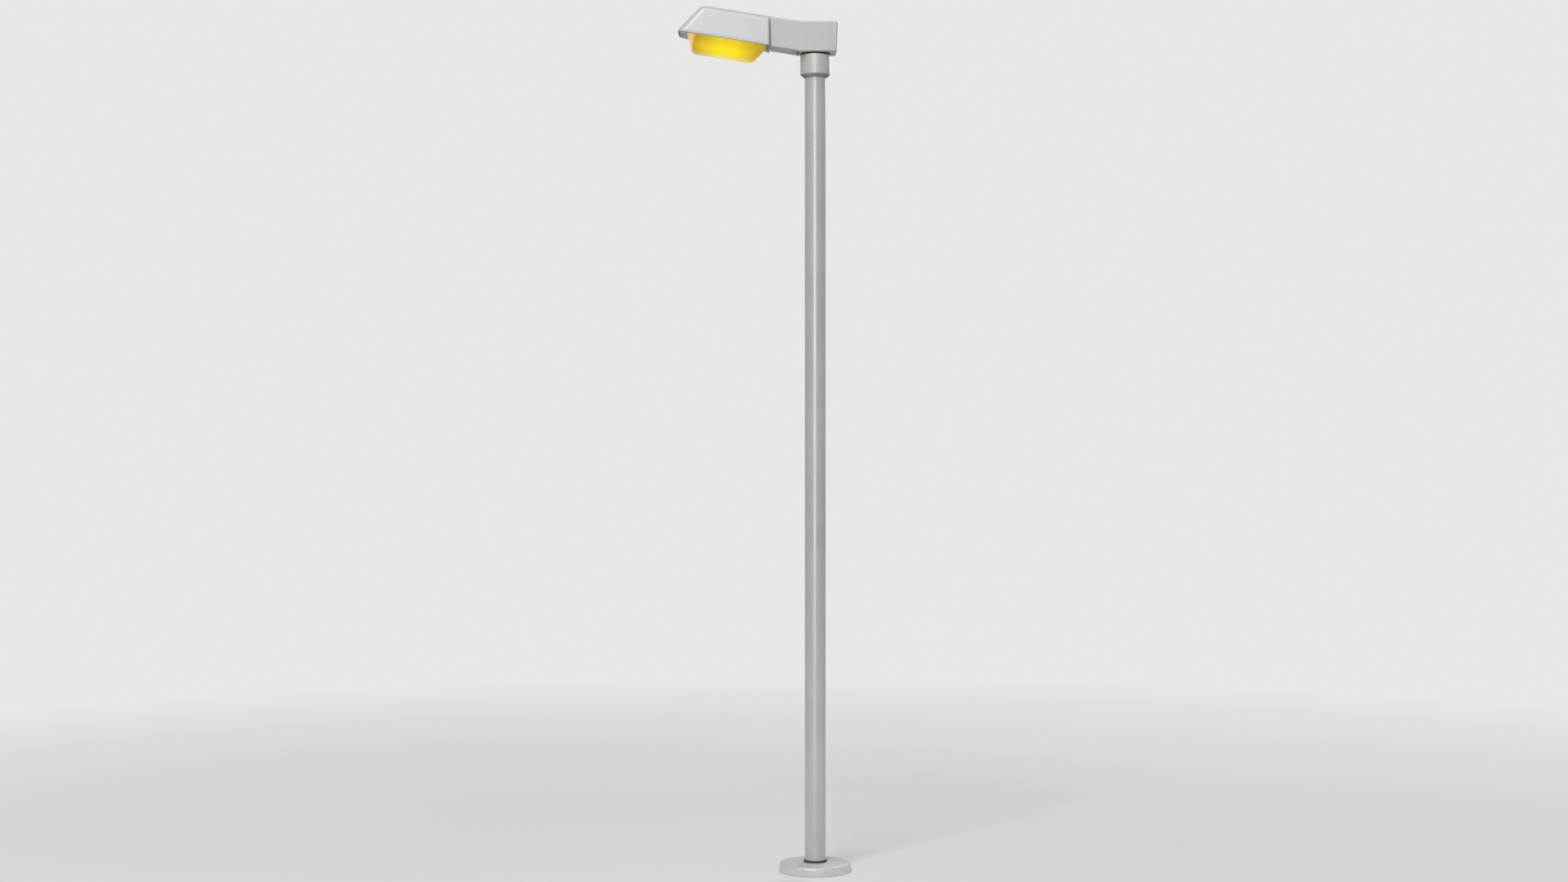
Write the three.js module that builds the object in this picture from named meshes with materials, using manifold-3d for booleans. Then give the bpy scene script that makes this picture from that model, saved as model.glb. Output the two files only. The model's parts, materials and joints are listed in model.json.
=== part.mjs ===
// A street lamp post: a straight round steel post on a flanged foot, and a post-top lantern whose
// hood rises towards the front over a moulded bowl. Millimetres, +Z up, origin on the post's axis
// at ground level; the lantern reaches out along -X and the service door faces +Y.
import * as THREE from "three";
import { mergeVertices } from "three/addons/utils/BufferGeometryUtils.js";
import Module from "manifold-3d";

const wasm = await Module();
wasm.setup();

// Driving dimensions
const GAP = 0.3; // between pieces that touch
const MOUNTING_HEIGHT = 4000; // underside of the lantern's rear housing
const POST_RADIUS = 50.8;
const POST_WALL = 3.6;
const POST_TOP = MOUNTING_HEIGHT - 8.6;
const POST_SEAMS = [560, 940, 1957, 2974]; // heights where the post's lengths of tube are butt-welded
const COLLAR_RADIUS = 73;
const COLLAR_LENGTH = 118;
const COLLAR_NECK = { height: 9, depth: 5 }; // groove under the rear housing
const COLLAR_BOTTOM = MOUNTING_HEIGHT - COLLAR_LENGTH;
const COLLAR_TOP = MOUNTING_HEIGHT - GAP;
const SET_SCREW_HEIGHT = COLLAR_BOTTOM + 30;
const COLLAR_BOLT_CIRCLE = 59.5; // radius
const THIRD_TURNS = [90, 210, 330]; // angles of the set screws and of the collar bolts
const COVER_RADIUS = 175;
const COVER_HEIGHT = 46;
const FLANGE_RADIUS = 145;
const FLANGE_THICKNESS = 16;
const ANCHOR_CIRCLE = 110; // radius of the anchor stud circle
const ANCHOR_ANGLES = [45, 135, 225, 315];
const ANCHOR_TOP = 38;
const DOOR = { low: 600, high: 900, width: 70, corner: 14, gap: 1 };
const DOOR_SCREW_HEIGHTS = { top: DOOR.high - 25, bottom: DOOR.low + 25 };
const BRIDGE = { near: 22, far: 30, half: 35, height: 20 }; // bar that a door screw threads into
const BOX = { half: 28, back: -35.3, front: 10.7, low: 655, high: 845 }; // fused connection box
const FUSE_HEIGHT = 775;
const GLAND_Y = -12;
const HEAD_TILT = THREE.MathUtils.degToRad(9.2);
const BEND_X = -70; // where the lantern starts to rise
const SHELL_HEIGHT = 146; // of the hood, square to its rim
const BOX_HEIGHT = 148; // of the rear housing over the post
const HOUSING_HALF = 75; // half width of the rear housing
const HOUSING_WALL = 4;
const HOUSING_EDGE = 8; // rounding of its long edges
const HOUSING_CORNER = 14; // rounding of its two rear corners
const ROOF_SWEEP = 55; // length of the roof's bend on each side
const HOUSING_FRONT = -221.5;
const HOUSING_REAR = 110;
const REAR_LEAN = 7; // how much further back the rear wall is at its top
const HOUSING_FLOOR = MOUNTING_HEIGHT + HOUSING_WALL + GAP; // where things stand inside it
const HOOD_REAR = -223.5; // plumb plane of the hood's rear wall
const HOOD_FRONT = -607.8; // along the tilted head
const HOOD_HALF = 110;
const HOOD_TOP_HALF = 80;
const HOOD_WALL = 3;
const RIM_BAND = 10; // upright band above the hood's rim
const FRONT_LEAN = 92; // how far the front face leans back
const CROWN_RADIUS = 24; // between the hood's leaning faces and its flat top
const HOOD_CORNERS = { front: 44, rear: 10 };
const BOWL_FRONT = -562;
const BOWL_REAR = -180;
const BOWL_HALF = 88;
const BOWL_DEPTH = 77;
const BOWL_WALL = 3;
const FRAME_THICKNESS = 3;
const FLANGE_TOP = FRAME_THICKNESS + GAP + 3; // top of the bowl's clamped flange
const HINGE_X = -165; // bowl hinge, along the tilted head
const HINGE_Z = 5;
const BOWL_SCREW_X = -586;
const GEAR_OPENING = { front: -145, rear: -10, half: 62 };
const COVER_HINGE_X = -16; // gear cover hinge, along the tilted head
const COVER_HINGE_Z = 4.5;
const COVER_SCREW_X = GEAR_OPENING.front + 8;
const HOOD_SCREWS = [-45, 45].map((y) => [y, 100]); // across and up the seam between housing and hood
const LEAD_HOLE = { z: 56, radius: 9 }; // where the lamp lead passes from the housing into the hood
const LAMP_AXIS_Z = 50; // lamp's centreline above the rim
const CAP_REAR = -196; // rear end of the lamp cap inside its holder
const TRAY = { low: 129, high: 131 }; // tray that the control gear hangs from

const ROUND = 32; // sides of large round pieces
const SMALL = 16; // sides of small round pieces
const TINY = 12; // sides of screws and pins

// Materials
function finish(color, roughness, metalness) {
  return new THREE.MeshStandardMaterial({ color, roughness, metalness });
}

const silverPaint = finish(0xb4b8b6, 0.45, 0.5);
const hoodPaint = finish(0xc6cbcb, 0.42, 0.4);
const castPaint = finish(0xabb1ab, 0.5, 0.4);
const zinc = finish(0x9fa3a6, 0.4, 0.9);
const steel = finish(0xc2c4c6, 0.3, 1.0);
const rubber = finish(0x2a2b2b, 0.85, 0.0);
const brightAluminium = finish(0xe4e6e8, 0.12, 1.0);
const porcelain = finish(0xe9e6dc, 0.25, 0.0);
const lampGlass = finish(0xfff4d0, 0.1, 0.0);
const bowlPlastic = finish(0xf2c52e, 0.2, 0.0);
const brass = finish(0xc8a860, 0.3, 1.0);
const blackPaint = finish(0x26282a, 0.5, 0.2);
const greyPlastic = finish(0x9b9ea0, 0.55, 0.0);
const whitePlastic = finish(0xe6e6e2, 0.45, 0.0);
const cableJacket = finish(0x3a3a3c, 0.6, 0.0);

// Solids and booleans
function toSolid(geometry) {
  const bare = geometry.index ? geometry.toNonIndexed() : geometry.clone();
  bare.deleteAttribute("normal");
  bare.deleteAttribute("uv");
  const merged = mergeVertices(bare, 1e-4);
  const mesh = new wasm.Mesh({
    numProp: 3,
    vertProperties: merged.attributes.position.array,
    triVerts: new Uint32Array(merged.index.array),
  });
  return new wasm.Manifold(mesh);
}

function toGeometry(solid) {
  const { vertProperties, triVerts } = solid.getMesh();
  const geometry = new THREE.BufferGeometry();
  geometry.setAttribute("position", new THREE.BufferAttribute(vertProperties, 3));
  geometry.setIndex(new THREE.BufferAttribute(triVerts, 1));
  geometry.computeVertexNormals();
  return geometry;
}

function cut(body, ...tools) {
  return toGeometry(tools.reduce((solid, tool) => solid.subtract(toSolid(tool)), toSolid(body)));
}

function join(body, ...others) {
  return toGeometry(others.reduce((solid, other) => solid.add(toSolid(other)), toSolid(body)));
}

function common(a, b) {
  return toGeometry(toSolid(a).intersect(toSolid(b)));
}

// A piece turned about Z. The profile is a list of [radius, height], anticlockwise.
function turned(profile, sides = ROUND) {
  const closed = [...profile, profile[0]].map(([r, z]) => new THREE.Vector2(r, z));
  return new THREE.LatheGeometry(closed, sides).rotateX(Math.PI / 2);
}

// A round bar of one radius between two heights on Z
function rod(radius, low, high, sides = SMALL) {
  const bar = new THREE.CylinderGeometry(radius, radius, high - low, sides);
  return bar.rotateX(Math.PI / 2).translate(0, 0, (low + high) / 2);
}

// A hexagonal bar, by its width across flats
const hexBar = (acrossFlats, low, high) => rod(acrossFlats / Math.sqrt(3), low, high, 6);

// A piece drawn about Z, laid along X or Y with its top end first
const pointAlongX = (geometry) => geometry.rotateY(Math.PI / 2);
const pointAlongY = (geometry) => geometry.rotateX(-Math.PI / 2);

// A box from its lowest to its highest corner
function block([x0, y0, z0], [x1, y1, z1]) {
  const box = new THREE.BoxGeometry(x1 - x0, y1 - y0, z1 - z0);
  return box.translate((x0 + x1) / 2, (y0 + y1) / 2, (z0 + z1) / 2);
}

// A prism up from Z = 0, from a list of [x, y], anticlockwise
function prism(points, height) {
  const shape = new THREE.Shape(points.map(([x, y]) => new THREE.Vector2(x, y)));
  return new THREE.ExtrudeGeometry(shape, { depth: height, bevelEnabled: false });
}

// A wire of one radius along a smooth curve
function wire(points, radius, steps) {
  const path = new THREE.CatmullRomCurve3(points.map((p) => new THREE.Vector3(...p)));
  const section = new THREE.Shape().absarc(0, 0, radius, 0, 2 * Math.PI);
  return new THREE.ExtrudeGeometry(section, { steps, extrudePath: path, curveSegments: 5 });
}

// A shape drawn in X and Z, extruded across Y with its two edges rounded
function extrudedAcross(shape, width, edge) {
  const options = { depth: width - 2 * edge, curveSegments: 4, steps: 1 };
  const bevel = { bevelThickness: edge, bevelSize: edge, bevelOffset: -edge, bevelSegments: 2 };
  const geometry = new THREE.ExtrudeGeometry(shape, { ...options, ...bevel, bevelEnabled: edge > 0 });
  return geometry.rotateX(Math.PI / 2).translate(0, width / 2 - edge, 0);
}

// One level of a shell: a rectangle in plan with round corners, anticlockwise
function plan({ front, rear, half, frontCorner, rearCorner, z }, steps = 4) {
  const corners = [
    [rear - rearCorner, half - rearCorner, rearCorner, 0],
    [front + frontCorner, half - frontCorner, frontCorner, 1],
    [front + frontCorner, frontCorner - half, frontCorner, 2],
    [rear - rearCorner, rearCorner - half, rearCorner, 3],
  ];
  return corners.flatMap(([x, y, radius, quarter]) =>
    Array.from({ length: steps + 1 }, (_, i) => {
      const angle = ((quarter + i / steps) * Math.PI) / 2;
      return new THREE.Vector3(x + radius * Math.cos(angle), y + radius * Math.sin(angle), z);
    }),
  );
}

// A closed body through a stack of levels, from the lowest to the highest
function stacked(levels) {
  const rings = levels.map((level) => plan(level));
  const count = rings[0].length;
  const index = [];
  for (let i = 0; i + 1 < rings.length; i += 1) {
    for (let j = 0; j < count; j += 1) {
      const k = (j + 1) % count;
      const [a, b, c, d] = [i * count + j, i * count + k, (i + 1) * count + k, (i + 1) * count + j];
      index.push(a, b, c, a, c, d);
    }
  }
  const top = (rings.length - 1) * count;
  for (let j = 1; j + 1 < count; j += 1) {
    index.push(0, j + 1, j);
    index.push(top, top + j, top + j + 1);
  }
  const geometry = new THREE.BufferGeometry().setFromPoints(rings.flat());
  geometry.setIndex(index);
  geometry.computeVertexNormals();
  return geometry;
}

// Assembly: the post and housing stand in the part's frame, the head is tilted about the bend
const lampPost = new THREE.Group();
const head = new THREE.Group();
head.position.set(BEND_X, 0, MOUNTING_HEIGHT);
head.rotation.y = HEAD_TILT;
lampPost.add(head);
head.updateMatrix();

function add(parent, name, geometry, material) {
  const mesh = new THREE.Mesh(geometry, material);
  mesh.name = name;
  parent.add(mesh);
  return mesh;
}

const tilted = (geometry) => geometry.applyMatrix4(head.matrix);
const atAngle = (geometry, degrees) => geometry.rotateZ(THREE.MathUtils.degToRad(degrees));

// A hole through a plate near height 0, away from the axis
const plateHole = (radius, out, thickness) => rod(radius, -1, thickness + 1).translate(out, 0, 0);

// Foot: flange plate with its weld bead, two cable holes and four stud holes
function flangePlate() {
  const chamfer = 2;
  const bead = { width: 8, height: 8, belly: 5.5 };
  const top = FLANGE_THICKNESS;
  const plate = turned([
    [0, 0],
    [FLANGE_RADIUS - chamfer, 0],
    [FLANGE_RADIUS, chamfer],
    [FLANGE_RADIUS, top - chamfer],
    [FLANGE_RADIUS - chamfer, top],
    [POST_RADIUS + bead.width, top],
    [POST_RADIUS + bead.belly, top + bead.belly],
    [POST_RADIUS + GAP, top + bead.height],
    [POST_RADIUS + GAP, top],
    [0, top],
  ]);
  const studHoles = ANCHOR_ANGLES.map((angle) => atAngle(plateHole(11, ANCHOR_CIRCLE, top), angle));
  const cableHoles = [-23, 23].map((x) => plateHole(15, x, top));
  return cut(plate, ...studHoles, ...cableHoles);
}

// Anchor stud with the flanged nut that is screwed down on it
function anchorBolt() {
  const radius = 10;
  const chamfer = 1.5;
  const seat = FLANGE_THICKNESS + GAP;
  const stud = turned([
    [0, 0],
    [radius, 0],
    [radius, ANCHOR_TOP - chamfer],
    [radius - chamfer, ANCHOR_TOP],
    [0, ANCHOR_TOP],
  ], SMALL);
  const washer = turned([[0, seat], [20, seat], [20, seat + 2], [17.5, seat + 4], [0, seat + 4]], SMALL);
  return join(stud, washer, hexBar(30, seat + 2, seat + 16));
}

add(lampPost, "flange_plate", flangePlate(), zinc);
ANCHOR_ANGLES.forEach((angle, i) => {
  const bolt = atAngle(anchorBolt().translate(ANCHOR_CIRCLE, 0, 0), angle);
  add(lampPost, `anchor_bolt_${i + 1}`, bolt, zinc);
});

// Foot cover that slides up the post, and the rubber ring in its hub
function baseCover() {
  const hub = POST_RADIUS + 2.2;
  const wall = 4;
  const shoulder = 14;
  const arc = (centreRadius, centreHeight, radius, from, to) =>
    [0, 1, 2, 3, 4].map((i) => {
      const angle = THREE.MathUtils.degToRad(from + ((to - from) * i) / 4);
      return [centreRadius + radius * Math.cos(angle), centreHeight + radius * Math.sin(angle)];
    });
  const rounding = [COVER_RADIUS - shoulder, COVER_HEIGHT - 3 - shoulder];
  return turned([
    [COVER_RADIUS - wall, 1],
    [COVER_RADIUS, 1],
    ...arc(...rounding, shoulder, 0, 90),
    [hub, COVER_HEIGHT],
    [hub, COVER_HEIGHT - wall],
    ...arc(...rounding, shoulder - wall, 90, 0),
  ]);
}

function coverSeal() {
  const inner = POST_RADIUS + 0.4;
  const neck = POST_RADIUS + 1.9;
  const lip = POST_RADIUS + 7;
  const [low, high] = [COVER_HEIGHT - 4 - 2 * GAP, COVER_HEIGHT + GAP];
  return turned([
    [inner, low - 4],
    [lip, low - 4],
    [lip, low],
    [neck, low],
    [neck, high],
    [lip, high],
    [lip - 0.5, high + 6],
    [lip - 3.5, high + 9],
    [inner, high + 9],
  ]);
}

add(lampPost, "base_cover", baseCover(), castPaint);
add(lampPost, "cover_seal", coverSeal(), rubber);

// Post: lengths of tube, the second with the door opening, and the door cut to the same curve
function tube(low, high) {
  const inner = POST_RADIUS - POST_WALL;
  return turned([[inner, low], [POST_RADIUS, low], [POST_RADIUS, high], [inner, high]]);
}

// A rectangle with round corners, from inside the post out through its +Y side
function doorSlot(clearance) {
  const half = DOOR.width / 2 - clearance;
  const corner = DOOR.corner - clearance;
  const [low, high] = [DOOR.low + clearance, DOOR.high - clearance];
  const depth = { near: 2, far: POST_RADIUS + 11.2 };
  const shape = new THREE.Shape();
  shape.moveTo(-half + corner, low);
  shape.lineTo(half - corner, low);
  shape.absarc(half - corner, low + corner, corner, -Math.PI / 2, 0);
  shape.lineTo(half, high - corner);
  shape.absarc(half - corner, high - corner, corner, 0, Math.PI / 2);
  shape.lineTo(-half + corner, high);
  shape.absarc(-half + corner, high - corner, corner, Math.PI / 2, Math.PI);
  shape.lineTo(-half, low + corner);
  shape.absarc(-half + corner, low + corner, corner, Math.PI, 1.5 * Math.PI);
  const slot = new THREE.ExtrudeGeometry(shape, {
    depth: depth.far - depth.near,
    bevelEnabled: false,
    curveSegments: 3,
  });
  return slot.rotateX(Math.PI / 2).translate(0, depth.far, 0);
}

const [footSeam, doorSeam, middleSeam, upperSeam] = POST_SEAMS;
const doorTube = tube(footSeam + GAP, doorSeam);
const doorHole = (z) => pointAlongY(rod(4.6, 0, POST_RADIUS + 10, TINY)).translate(0, 0, z);
const doorHoles = Object.values(DOOR_SCREW_HEIGHTS).map(doorHole);
add(lampPost, "post_foot", tube(FLANGE_THICKNESS + GAP, footSeam), silverPaint);
add(lampPost, "post_door_section", cut(doorTube, doorSlot(0)), silverPaint);
add(lampPost, "post_shaft_lower", tube(doorSeam + GAP, middleSeam), silverPaint);
add(lampPost, "post_shaft_middle", tube(middleSeam + GAP, upperSeam), silverPaint);
add(lampPost, "post_shaft_upper", tube(upperSeam + GAP, POST_TOP), silverPaint);
add(lampPost, "door_plate", cut(common(doorTube, doorSlot(DOOR.gap)), ...doorHoles), silverPaint);

function doorBridge(z) {
  const { near, far, half, height } = BRIDGE;
  return cut(block([-half, near, z - height / 2], [half, far, z + height / 2]), doorHole(z));
}

// Pan-headed screw with a triangular socket, pointing into the post
function doorScrew() {
  const [radius, headRadius, headHeight] = [4, 9, 6];
  const seat = POST_RADIUS + GAP;
  const tip = BRIDGE.near - 4;
  const body = turned([
    [0, tip],
    [radius, tip],
    [radius, seat],
    [headRadius, seat],
    [headRadius, seat + 3.5],
    [headRadius - 2, seat + headHeight],
    [0, seat + headHeight],
  ], TINY);
  return pointAlongY(cut(body, rod(4.2, seat + 2, seat + headHeight + 2, 3)));
}

for (const [end, z] of Object.entries(DOOR_SCREW_HEIGHTS)) {
  add(lampPost, `door_bridge_${end}`, doorBridge(z), zinc);
  add(lampPost, `door_screw_${end}`, doorScrew().translate(0, 0, z), steel);
}

// Inside the door: equipment rail, fused connection box, glands, earth bolt and the rising cable
const RAIL = { half: 17.5, back: -43, front: -36, skin: 2, lip: 9, low: DOOR.low - 40, length: 380 };

function equipmentRail() {
  const { half, back, front, skin, lip } = RAIL;
  const outline = [
    [-half, back],
    [half, back],
    [half, front],
    [lip, front],
    [lip, front - skin],
    [half - skin, front - skin],
    [half - skin, back + skin],
    [skin - half, back + skin],
    [skin - half, front - skin],
    [-lip, front - skin],
    [-lip, front],
    [-half, front],
  ];
  return prism(outline, RAIL.length).translate(0, 0, RAIL.low);
}

function fuseBox() {
  const wall = 2.5;
  const { half, back, front, low, high } = BOX;
  const inside = block([wall - half, back + wall, low + wall], [half - wall, front + 1, high - wall]);
  return cut(block([-half, back, low], [half, front, high]), inside);
}

function fuseBoxLid() {
  const face = BOX.front + GAP;
  const plate = block([-BOX.half - 1, face, BOX.low - 1], [BOX.half + 1, face + 3, BOX.high + 1]);
  const raised = block([-BOX.half + 5, face + 2, BOX.low + 6], [BOX.half - 5, face + 6, BOX.high - 6]);
  return cut(join(plate, raised), pointAlongY(rod(11.5, 0, 60)).translate(0, 0, FUSE_HEIGHT));
}

function fuseCap() {
  const seat = BOX.front + 6 + 2 * GAP;
  const body = turned([
    [0, seat - 28],
    [8, seat - 28],
    [8, seat - 14],
    [11, seat - 12],
    [11, seat],
    [13, seat],
    [13, seat + 9],
    [11, seat + 12],
    [0, seat + 12],
  ], SMALL);
  return pointAlongY(cut(body, rod(4, seat + 8, seat + 20, 6))).translate(0, 0, FUSE_HEIGHT);
}

// Cable gland that stands on a wall at height 0 and points up
function gland() {
  const nut = join(hexBar(24, GAP, 9), turned([[0, 8], [11, 8], [11, 22], [8.5, 30], [0, 30]], SMALL));
  return cut(nut, rod(6, -1, 40));
}

function earthBolt() {
  const head = join(hexBar(13, 0, 5.5), rod(4, 5, 16, TINY), rod(8, -1.8, 0.2, TINY));
  return pointAlongY(head).translate(0, RAIL.front + 2.1, DOOR.low + 12);
}

add(lampPost, "equipment_rail", equipmentRail(), zinc);
add(lampPost, "fuse_box", fuseBox(), greyPlastic);
add(lampPost, "fuse_box_lid", fuseBoxLid(), whitePlastic);
add(lampPost, "fuse_cap", fuseCap(), porcelain);
add(lampPost, "riser_gland", gland().translate(0, GLAND_Y, BOX.high), blackPaint);
add(lampPost, "supply_gland", gland().rotateX(Math.PI).translate(0, GLAND_Y, BOX.low), blackPaint);
add(lampPost, "earth_bolt", earthBolt(), brass);

const riserRoute = [
  [0, GLAND_Y, BOX.high + 2],
  [0, GLAND_Y, BOX.high + 40],
  [0, GLAND_Y + 3, BOX.high + 110],
  [0, -3, BOX.high + 210],
  [0, 0, BOX.high + 330],
  [0, 0, 2600],
  [0, 0, POST_TOP],
];
add(lampPost, "riser_cable", wire(riserRoute, 4.5, 26), cableJacket);

// Collar that drops over the post, three set screws in it and three bolts that hold it to the housing
const thirdHoles = (hole) => THIRD_TURNS.map((angle) => atAngle(hole(), angle));

function mastCollar() {
  const bore = POST_RADIUS + 0.5;
  const mouth = 28; // radius of the cable's way up
  const neck = COLLAR_RADIUS - COLLAR_NECK.depth;
  const cavity = COLLAR_RADIUS - 6;
  const body = turned([
    [bore, COLLAR_BOTTOM],
    [POST_RADIUS + 5, COLLAR_BOTTOM],
    [COLLAR_RADIUS - 4, COLLAR_BOTTOM + 11],
    [COLLAR_RADIUS, COLLAR_BOTTOM + 16],
    [COLLAR_RADIUS, COLLAR_TOP - COLLAR_NECK.height],
    [neck, COLLAR_TOP - COLLAR_NECK.height + 1],
    [neck, COLLAR_TOP],
    [mouth, COLLAR_TOP],
    [mouth, POST_TOP + GAP],
    [bore, POST_TOP + GAP],
    [bore, COLLAR_TOP - 30],
    [cavity, COLLAR_TOP - 34],
    [cavity, COLLAR_BOTTOM + 46],
    [bore, COLLAR_BOTTOM + 42],
  ]);
  const setHole = () => pointAlongX(rod(4.3, 40, 90, TINY)).translate(0, 0, SET_SCREW_HEIGHT);
  const boltHole = () => rod(4.3, COLLAR_TOP - 26, COLLAR_TOP + 1, TINY).translate(COLLAR_BOLT_CIRCLE, 0, 0);
  return cut(body, ...thirdHoles(setHole), ...thirdHoles(boltHole));
}

// Socket set screw along +X, its outer end just inside the collar
function setScrew() {
  const outerEnd = COLLAR_RADIUS - 1;
  const shank = rod(4, POST_RADIUS + GAP, outerEnd, TINY);
  return pointAlongX(cut(shank, rod(2.3, outerEnd - 5, outerEnd + 8, 6)));
}

function collarBolt() {
  const floor = HOUSING_FLOOR;
  const shank = rod(4, COLLAR_TOP - 24, floor + 2, TINY);
  return join(shank, rod(7.5, floor, floor + 1.6, TINY), hexBar(13, floor + 1, floor + 7));
}

add(lampPost, "mast_collar", mastCollar(), castPaint);
THIRD_TURNS.forEach((angle, i) => {
  const screw = atAngle(setScrew(), angle).translate(0, 0, SET_SCREW_HEIGHT);
  const bolt = atAngle(collarBolt().translate(COLLAR_BOLT_CIRCLE, 0, 0), angle);
  add(lampPost, `set_screw_${i + 1}`, screw, steel);
  add(lampPost, `collar_bolt_${i + 1}`, bolt, zinc);
});

// Rear housing: a box over the post that bends up to meet the hood
const slope = Math.tan(HEAD_TILT);
const undersideAt = (x) => MOUNTING_HEIGHT + Math.max(0, BEND_X - x) * slope;
const TOP_BEND_X = BEND_X - 10;
const roofAt = (x) => MOUNTING_HEIGHT + BOX_HEIGHT + Math.max(0, TOP_BEND_X - x) * slope;

// A round bar across the head, for hinge pins and for their holes
function hingePin(radius, half, x, z) {
  return pointAlongY(rod(radius, -half, half, TINY)).translate(x, 0, z);
}

// Side outline of the rear housing, drawn smaller by the inset for its cavity
function housingProfile(inset) {
  const front = HOUSING_FRONT + inset;
  const [floor, roof] = [MOUNTING_HEIGHT + inset, MOUNTING_HEIGHT + BOX_HEIGHT - inset];
  const [rearLow, rearHigh] = [HOUSING_REAR - REAR_LEAN - inset, HOUSING_REAR - inset];
  const corner = HOUSING_CORNER - inset;
  const sweep = ROOF_SWEEP;
  const shape = new THREE.Shape();
  shape.moveTo(front, undersideAt(front) + inset);
  shape.lineTo(BEND_X, floor);
  shape.lineTo(rearLow - corner, floor);
  shape.quadraticCurveTo(rearLow, floor, rearLow + 1, floor + corner);
  shape.lineTo(rearHigh - 1, roof - corner);
  shape.quadraticCurveTo(rearHigh, roof, rearHigh - corner, roof);
  shape.lineTo(TOP_BEND_X + sweep, roof);
  shape.quadraticCurveTo(TOP_BEND_X, roof, TOP_BEND_X - sweep, roofAt(TOP_BEND_X - sweep) - inset);
  shape.lineTo(front, roofAt(front) - inset);
  return shape;
}

const hoodScrewHoles = (radius, from, to) =>
  HOOD_SCREWS.map(([y, z]) => pointAlongX(rod(radius, from, to, TINY)).translate(0, y, z));

function rearHousing() {
  const cavityHalf = HOUSING_HALF - HOUSING_WALL;
  const outer = extrudedAcross(housingProfile(0), 2 * HOUSING_HALF, HOUSING_EDGE);
  const cavity = extrudedAcross(housingProfile(HOUSING_WALL), 2 * cavityHalf, HOUSING_EDGE - HOUSING_WALL);
  const { front, rear, half } = GEAR_OPENING;
  const hatch = tilted(block([front, -half, -8], [rear, half, 7]));
  const coverLug = tilted(block([front - 6, -9, 3.4], [front + 15, 9, 15]));
  const hingeLugs = [-57, 50].map((y) => tilted(block([-20.5, y, 0.5], [-6, y + 7, 10])));
  const shell = join(cut(outer, cavity, hatch), coverLug, ...hingeLugs);
  const [below, above] = [MOUNTING_HEIGHT - 5, MOUNTING_HEIGHT + 10];
  const boltHole = () => rod(4.5, below, above, TINY).translate(COLLAR_BOLT_CIRCLE, 0, 0);
  return cut(
    shell,
    rod(26, below, above),
    ...thirdHoles(boltHole),
    tilted(hingePin(2.1, 60, COVER_HINGE_X, COVER_HINGE_Z)),
    tilted(rod(3.1, -5, 30, TINY).translate(COVER_SCREW_X, 0, 0)),
    tilted(pointAlongX(rod(LEAD_HOLE.radius, -175, -140, TINY)).translate(0, 0, LEAD_HOLE.z)),
    ...hoodScrewHoles(3.3, -180, -140).map(tilted),
  );
}

add(lampPost, "rear_housing", rearHousing(), castPaint);

// Sheet gasket in the seam between housing and hood, on a plumb plane
function seamGasket() {
  const [near, far] = [HOOD_REAR + GAP, HOUSING_FRONT - GAP];
  const bottom = undersideAt(HOUSING_FRONT) + 8;
  const sheet = block([near, -68, bottom], [far, 68, bottom + 128]);
  const window = block([near - 1, -30, bottom + 35], [far + 1, 30, bottom + 85]);
  return cut(sheet, window, ...hoodScrewHoles(3.8, -200, -120).map(tilted));
}

add(lampPost, "seam_gasket", seamGasket(), rubber);

// Hood: a pressed shell whose front and sides lean in towards a flat top
const rearPlaneAt = (x, z) => (x - BEND_X - z * Math.sin(HEAD_TILT)) / Math.cos(HEAD_TILT);

function hoodLevels(inset, lowest) {
  const crown = CROWN_RADIUS - inset;
  const top = SHELL_HEIGHT - inset;
  const lean = (z) => Math.max(0, z - RIM_BAND) / (SHELL_HEIGHT - RIM_BAND);
  const level = (z, tuck) => {
    const share = lean(z);
    return {
      z,
      front: HOOD_FRONT + inset + FRONT_LEAN * share + tuck,
      rear: rearPlaneAt(HOOD_REAR - inset, z),
      half: HOOD_HALF - inset - (HOOD_HALF - HOOD_TOP_HALF) * share - tuck,
      frontCorner: HOOD_CORNERS.front - inset - 8 * share - 0.35 * tuck,
      rearCorner: HOOD_CORNERS.rear - inset,
    };
  };
  const upright = [lowest, RIM_BAND, top - crown].map((z) => level(z, 0));
  const rounded = [22, 44, 66, 90].map((degrees) => {
    const angle = THREE.MathUtils.degToRad(degrees);
    return level(top - crown * (1 - Math.sin(angle)), crown * 0.72 * (1 - Math.cos(angle)));
  });
  return [...upright, ...rounded];
}

function hood() {
  const outer = stacked(hoodLevels(0, 0));
  const inner = stacked(hoodLevels(HOOD_WALL, -5));
  const boss = common(block([-615, -11, 12], [-576, 11, 28]), stacked(hoodLevels(1, 2)));
  const hingeLugs = [-68, 62].map((y) => block([HINGE_X - 4.5, y, 0.8], [HINGE_X + 6.5, y + 6, 10]));
  const shell = join(cut(outer, inner), boss, ...hingeLugs);
  return cut(
    shell,
    rod(3.7, 5, 40, TINY).translate(BOWL_SCREW_X, 0, 0),
    hingePin(2.3, 75, HINGE_X, HINGE_Z),
    pointAlongX(rod(LEAD_HOLE.radius, -185, -150, TINY)).translate(0, 0, LEAD_HOLE.z),
    ...hoodScrewHoles(3.3, -200, -150),
  );
}

add(head, "hood", hood(), hoodPaint);

// Screws from inside the hood into the housing's front wall
HOOD_SCREWS.forEach(([y, z], i) => {
  const seat = rearPlaneAt(HOOD_REAR - HOOD_WALL, z) - 2.5;
  const screw = join(rod(3, seat - 1, seat + 20, TINY), hexBar(10, seat - 5, seat));
  add(head, `hood_screw_${i + 1}`, pointAlongX(screw).translate(0, y, z), steel);
});

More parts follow.
